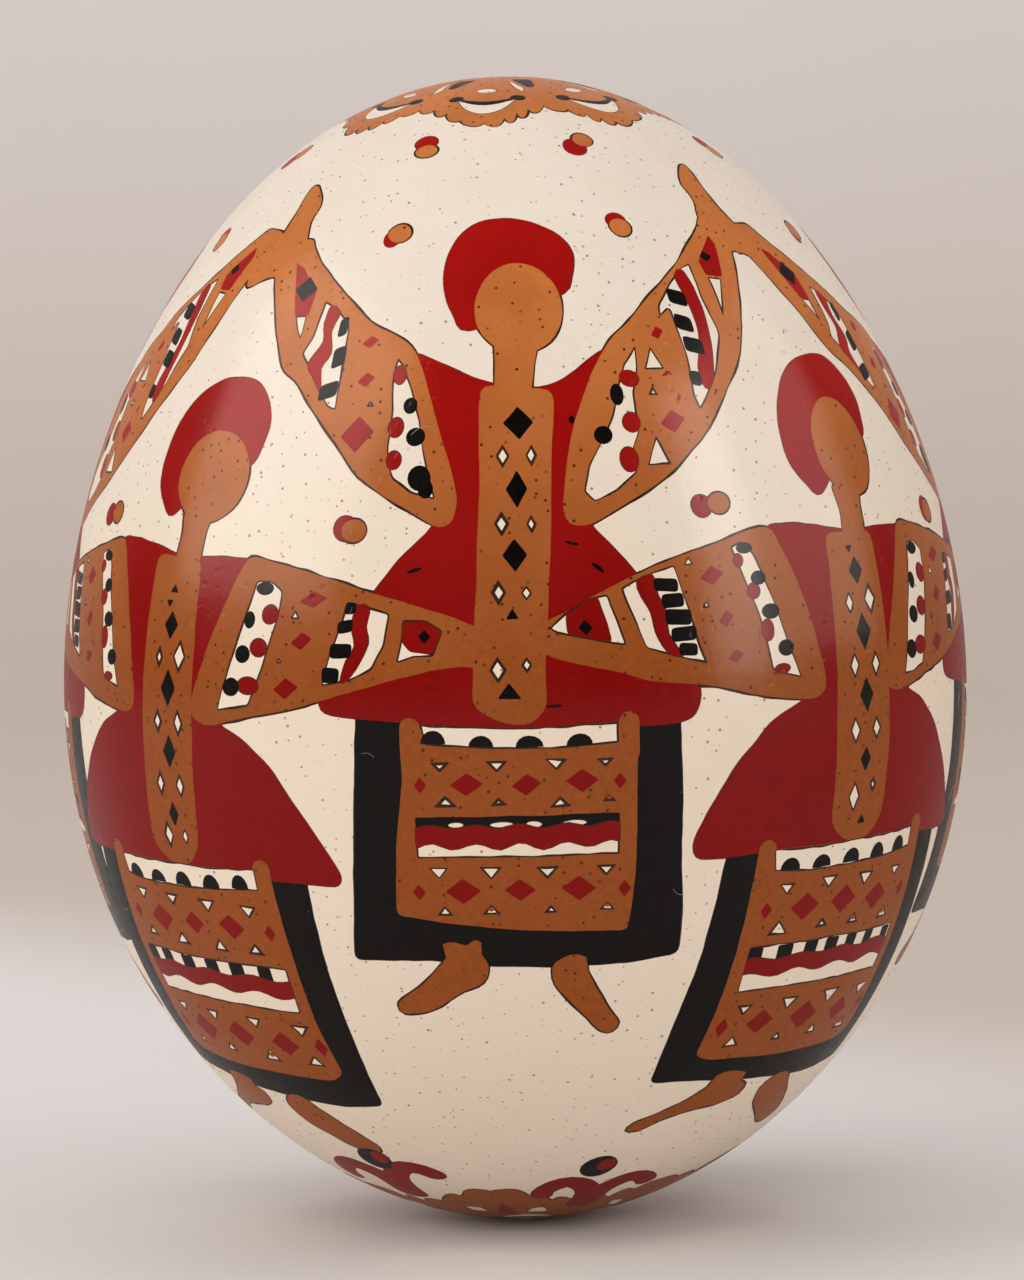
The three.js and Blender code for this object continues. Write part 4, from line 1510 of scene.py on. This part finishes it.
def makeSweep():
    wide = studio["sweepWide"] / 2
    outline = []
    floorSteps = 12
    for k in range(1, floorSteps + 1):
        angle = math.pi / 2 * k / floorSteps
        outline.append((-studio["floorRadius"] * math.cos(angle), 0.0, studio["floorRadius"] * math.sin(angle)))
    bendSteps = 16
    for k in range(bendSteps + 1):
        angle = math.pi / 2 * k / bendSteps
        outline.append((studio["sweepBack"] - studio["sweepRadius"] * (1 - math.sin(angle)),
                        studio["sweepRadius"] * (1 - math.cos(angle)), wide if k else studio["floorRadius"]))
    outline.append((studio["sweepBack"], studio["sweepHigh"], wide))
    points = [(side * half, y, z) for y, z, half in outline for side in (-1, 1)]
    faces = [(2 * k, 2 * k + 1, 2 * k + 3, 2 * k + 2) for k in range(len(outline) - 1)]
    mesh = bpy.data.meshes.new("paperSweep")
    mesh.from_pydata(points, [], faces)
    mesh.shade_smooth()
    sweep = newPiece("paperSweep", mesh)
    material, tree, surface = newMaterial("matteStudioPaper")
    place = add(tree, "ShaderNodeTexCoord").outputs["Object"]
    x, y, z = (Field(tree, add(tree, "ShaderNodeSeparateXYZ", None, {0: place}).outputs[k]) for k in range(3))
    # the paper's colour paints a shadow: pale where the egg stands, a painted shadow behind and to the right of it,
    # pale again higher up
    paintedShadowShare = ramp(tree, y + x * 1.3, 0.045, 0.125)
    above = ramp(tree, y + z * 3, 0.45, 1.15)
    colour = mixColour(tree, paintedShadowShare, linear(studio["near"]), linear(studio["far"]))
    colour = mixColour(tree, above, colour, linear(studio["high"]))
    colour = mixColour(tree, grain(tree, place, 60, 3, 0.5) * 0.12, colour, linear("#c9bcb2"))
    tree.links.new(colour, surface.inputs["Base Color"])
    surface.inputs["Roughness"].default_value = 0.85
    mesh.materials.append(material)


makeSweep()
for name, place, size, watts, colour, inLight, inGloss in studio["lights"]:
    data = bpy.data.lights.new(name, "AREA")
    data.shape = "RECTANGLE"
    data.size, data.size_y = size
    data.energy = watts
    data.color = linear(colour)[:3]
    lamp = bpy.data.objects.new(name, data)
    scene.collection.objects.link(lamp)
    lamp.visible_diffuse = inLight
    lamp.visible_glossy = inGloss
    lookAt(lamp, place, studio["aim"])

world = bpy.data.worlds.new("softRoom")
world.use_nodes = True
world.node_tree.nodes["Background"].inputs[0].default_value = linear(studio["world"])
# the room lights little but is pale where it is seen past the paper
seen = Field(world.node_tree, add(world.node_tree, "ShaderNodeLightPath").outputs["Is Camera Ray"])
roomStrength = seen * (studio["worldSeen"] - studio["worldStrength"]) + studio["worldStrength"]
world.node_tree.links.new(roomStrength.socket, world.node_tree.nodes["Background"].inputs[1])
scene.world = world
world.cycles_visibility.glossy = False
scene.view_settings.view_transform = "Standard"

camera = bpy.data.objects.new("camera", bpy.data.cameras.new("camera"))
scene.collection.objects.link(camera)
rise = math.radians(viewpoint["elevation"])
stand = viewpoint["target"] + viewpoint["distance"] * Vector((0, -math.cos(rise), math.sin(rise)))
lookAt(camera, stand, viewpoint["target"], viewpoint["roll"])
camera.data.lens = viewpoint["lens"]
camera.data.shift_x, camera.data.shift_y = viewpoint["shift"]
camera.data.clip_start = 0.01
scene.camera = camera
print("studio: sweep, %d lights and camera" % len(studio["lights"]))
